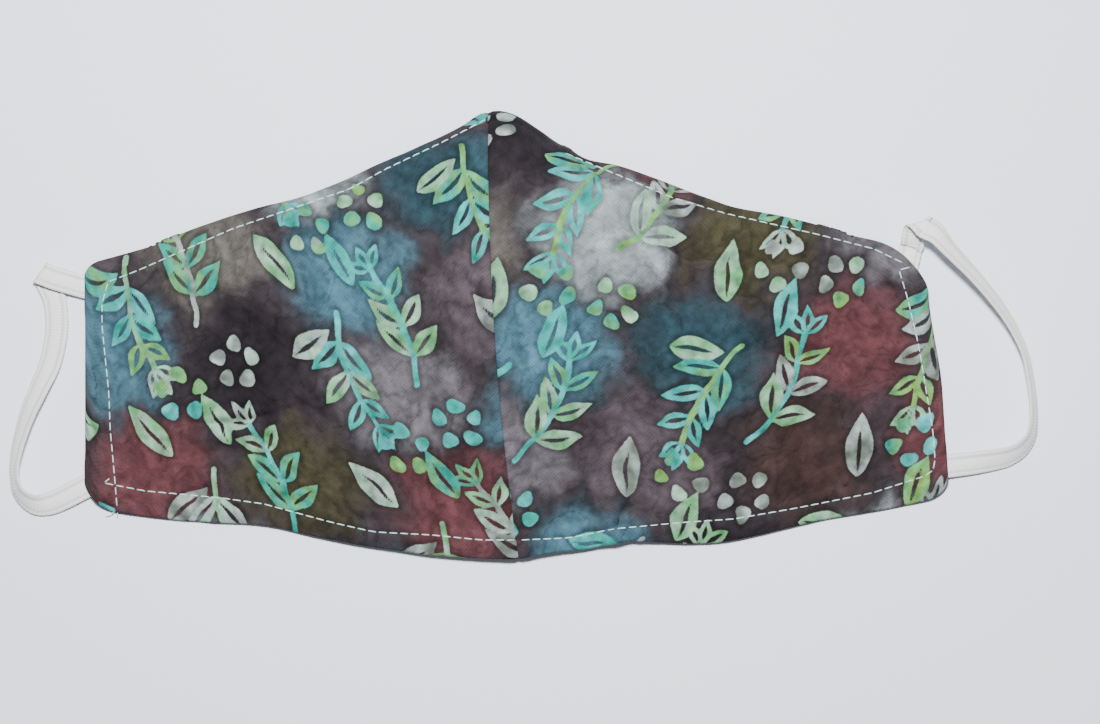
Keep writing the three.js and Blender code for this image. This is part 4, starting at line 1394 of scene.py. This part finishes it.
class MASK_OT_panels(bpy.types.Operator):
    """Make the two printed cotton panels"""

    bl_idname = "face_mask.panels"
    bl_label = "Cotton panels"

    def execute(self, context):
        materials = (cotton_print_material(), lining_material())
        for panel in (LEFT, RIGHT):
            cloth = make_panel(panel, materials)
            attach(cloth, "root")
            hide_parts(f"panel_{panel.name}")
        return {"FINISHED"}


class MASK_OT_stitches(bpy.types.Operator):
    """Topstitch the hems"""

    bl_idname = "face_mask.stitches"
    bl_label = "Topstitching"

    def execute(self, context):
        material = thread_material(tuple(context.scene.mask_trim.thread))
        for panel in (LEFT, RIGHT):
            cloth = bpy.data.objects[f"cloth_{panel.name}"]
            lines, tails = STITCH_LINES[panel.name].values(), THREAD_TAILS[panel.name]
            run = make_stitches(f"stitches_{panel.name}", lines, tails, cloth, material)
            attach(run, "root")
        return {"FINISHED"}


class MASK_OT_ear_loops(bpy.types.Operator):
    """Make the two knitted elastic ear loops"""

    bl_idname = "face_mask.ear_loops"
    bl_label = "Ear loops"

    def execute(self, context):
        material = elastic_material(tuple(context.scene.mask_trim.elastic))
        for name in LOOP_ROWS:
            elastic = make_ear_loop(name, material)
            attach(elastic, "root")
            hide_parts(f"ear_loop_{name}")
        return {"FINISHED"}


class MASK_OT_stage(bpy.types.Operator):
    """Lay out the table, the studio light and the camera"""

    bl_idname = "face_mask.stage"
    bl_label = "Table, light and camera"

    def execute(self, context):
        settings = context.scene.mask_stage
        deselect()
        bpy.ops.mesh.primitive_plane_add(size=TABLE_SIZE, location=(0, 0, -TABLE_DROP))
        table = bpy.context.object
        table.name = table.data.name = "table"
        material, tree, shader = new_material("Table")
        place = add_node(tree, "ShaderNodeTexCoord", -900, 0)
        grain = add_node(tree, "ShaderNodeTexNoise", -700, 0)
        grain.inputs["Scale"].default_value = 5
        tree.links.new(place.outputs["Object"], grain.inputs["Vector"])
        rgb = tuple(settings.table)
        colour = mix_colours(tree, grain.outputs["Fac"], (*(0.97 * c for c in rgb), 1), (*rgb, 1), -400, 100)
        tree.links.new(colour, shader.inputs["Base Color"])
        shader.inputs["Roughness"].default_value = 0.9
        table.data.materials.append(material)

        world = bpy.data.worlds.new("Room")
        context.scene.world = world
        world.use_nodes = True
        world.node_tree.nodes["Background"].inputs[0].default_value = ROOM_COLOUR
        world.node_tree.nodes["Background"].inputs[1].default_value = settings.fill

        deselect()
        bpy.ops.object.light_add(type="AREA", location=KEY_PLACE)
        key = bpy.context.object
        key.data.shape = "DISK"
        key.data.size = KEY_SIZE
        key.data.energy = settings.key_power
        key.rotation_mode = "QUATERNION"
        key.rotation_quaternion = (KEY_AIM - key.location).to_track_quat("-Z", "Y")

        deselect()
        eye = (*(CAMERA_XY * MM), CAMERA_HEIGHT * MM)
        bpy.ops.object.camera_add(location=eye, rotation=(0, 0, 0))
        camera = bpy.context.object
        camera.data.sensor_width = SENSOR
        camera.data.lens = SENSOR * CAMERA_HEIGHT / (PHOTO_SIZE[0] / PIXELS_PER_MM)
        camera.data.clip_start = 0.01
        context.scene.camera = camera
        return {"FINISHED"}


class MASK_PT_sidebar(bpy.types.Panel):
    """Lists the pieces of the mask"""

    bl_label = "Face Mask"
    bl_idname = "MASK_PT_sidebar"
    bl_space_type = "VIEW_3D"
    bl_region_type = "UI"
    bl_category = "Face Mask"

    def draw(self, context):
        scene = context.scene
        for group in (scene.mask_cloth, scene.mask_trim, scene.mask_stage):
            box = self.layout.box()
            for key in group.__annotations__:
                box.prop(group, key)
        for operator in OPERATORS:
            self.layout.operator(operator.bl_idname)


OPERATORS = (MASK_OT_panels, MASK_OT_stitches, MASK_OT_ear_loops, MASK_OT_stage)
GROUPS = {"mask_cloth": MASK_PG_cloth, "mask_trim": MASK_PG_trim, "mask_stage": MASK_PG_stage}


def register():
    for cls in (*GROUPS.values(), *OPERATORS, MASK_PT_sidebar):
        bpy.utils.register_class(cls)
    for name, group in GROUPS.items():
        setattr(bpy.types.Scene, name, bpy.props.PointerProperty(type=group))


def unregister():
    for name in GROUPS:
        delattr(bpy.types.Scene, name)
    for cls in reversed((*GROUPS.values(), *OPERATORS, MASK_PT_sidebar)):
        bpy.utils.unregister_class(cls)


def main():
    register()
    bpy.ops.face_mask.panels()
    bpy.ops.face_mask.stitches()
    bpy.ops.face_mask.ear_loops()
    bpy.ops.face_mask.stage()


if __name__ == "__main__":
    main()
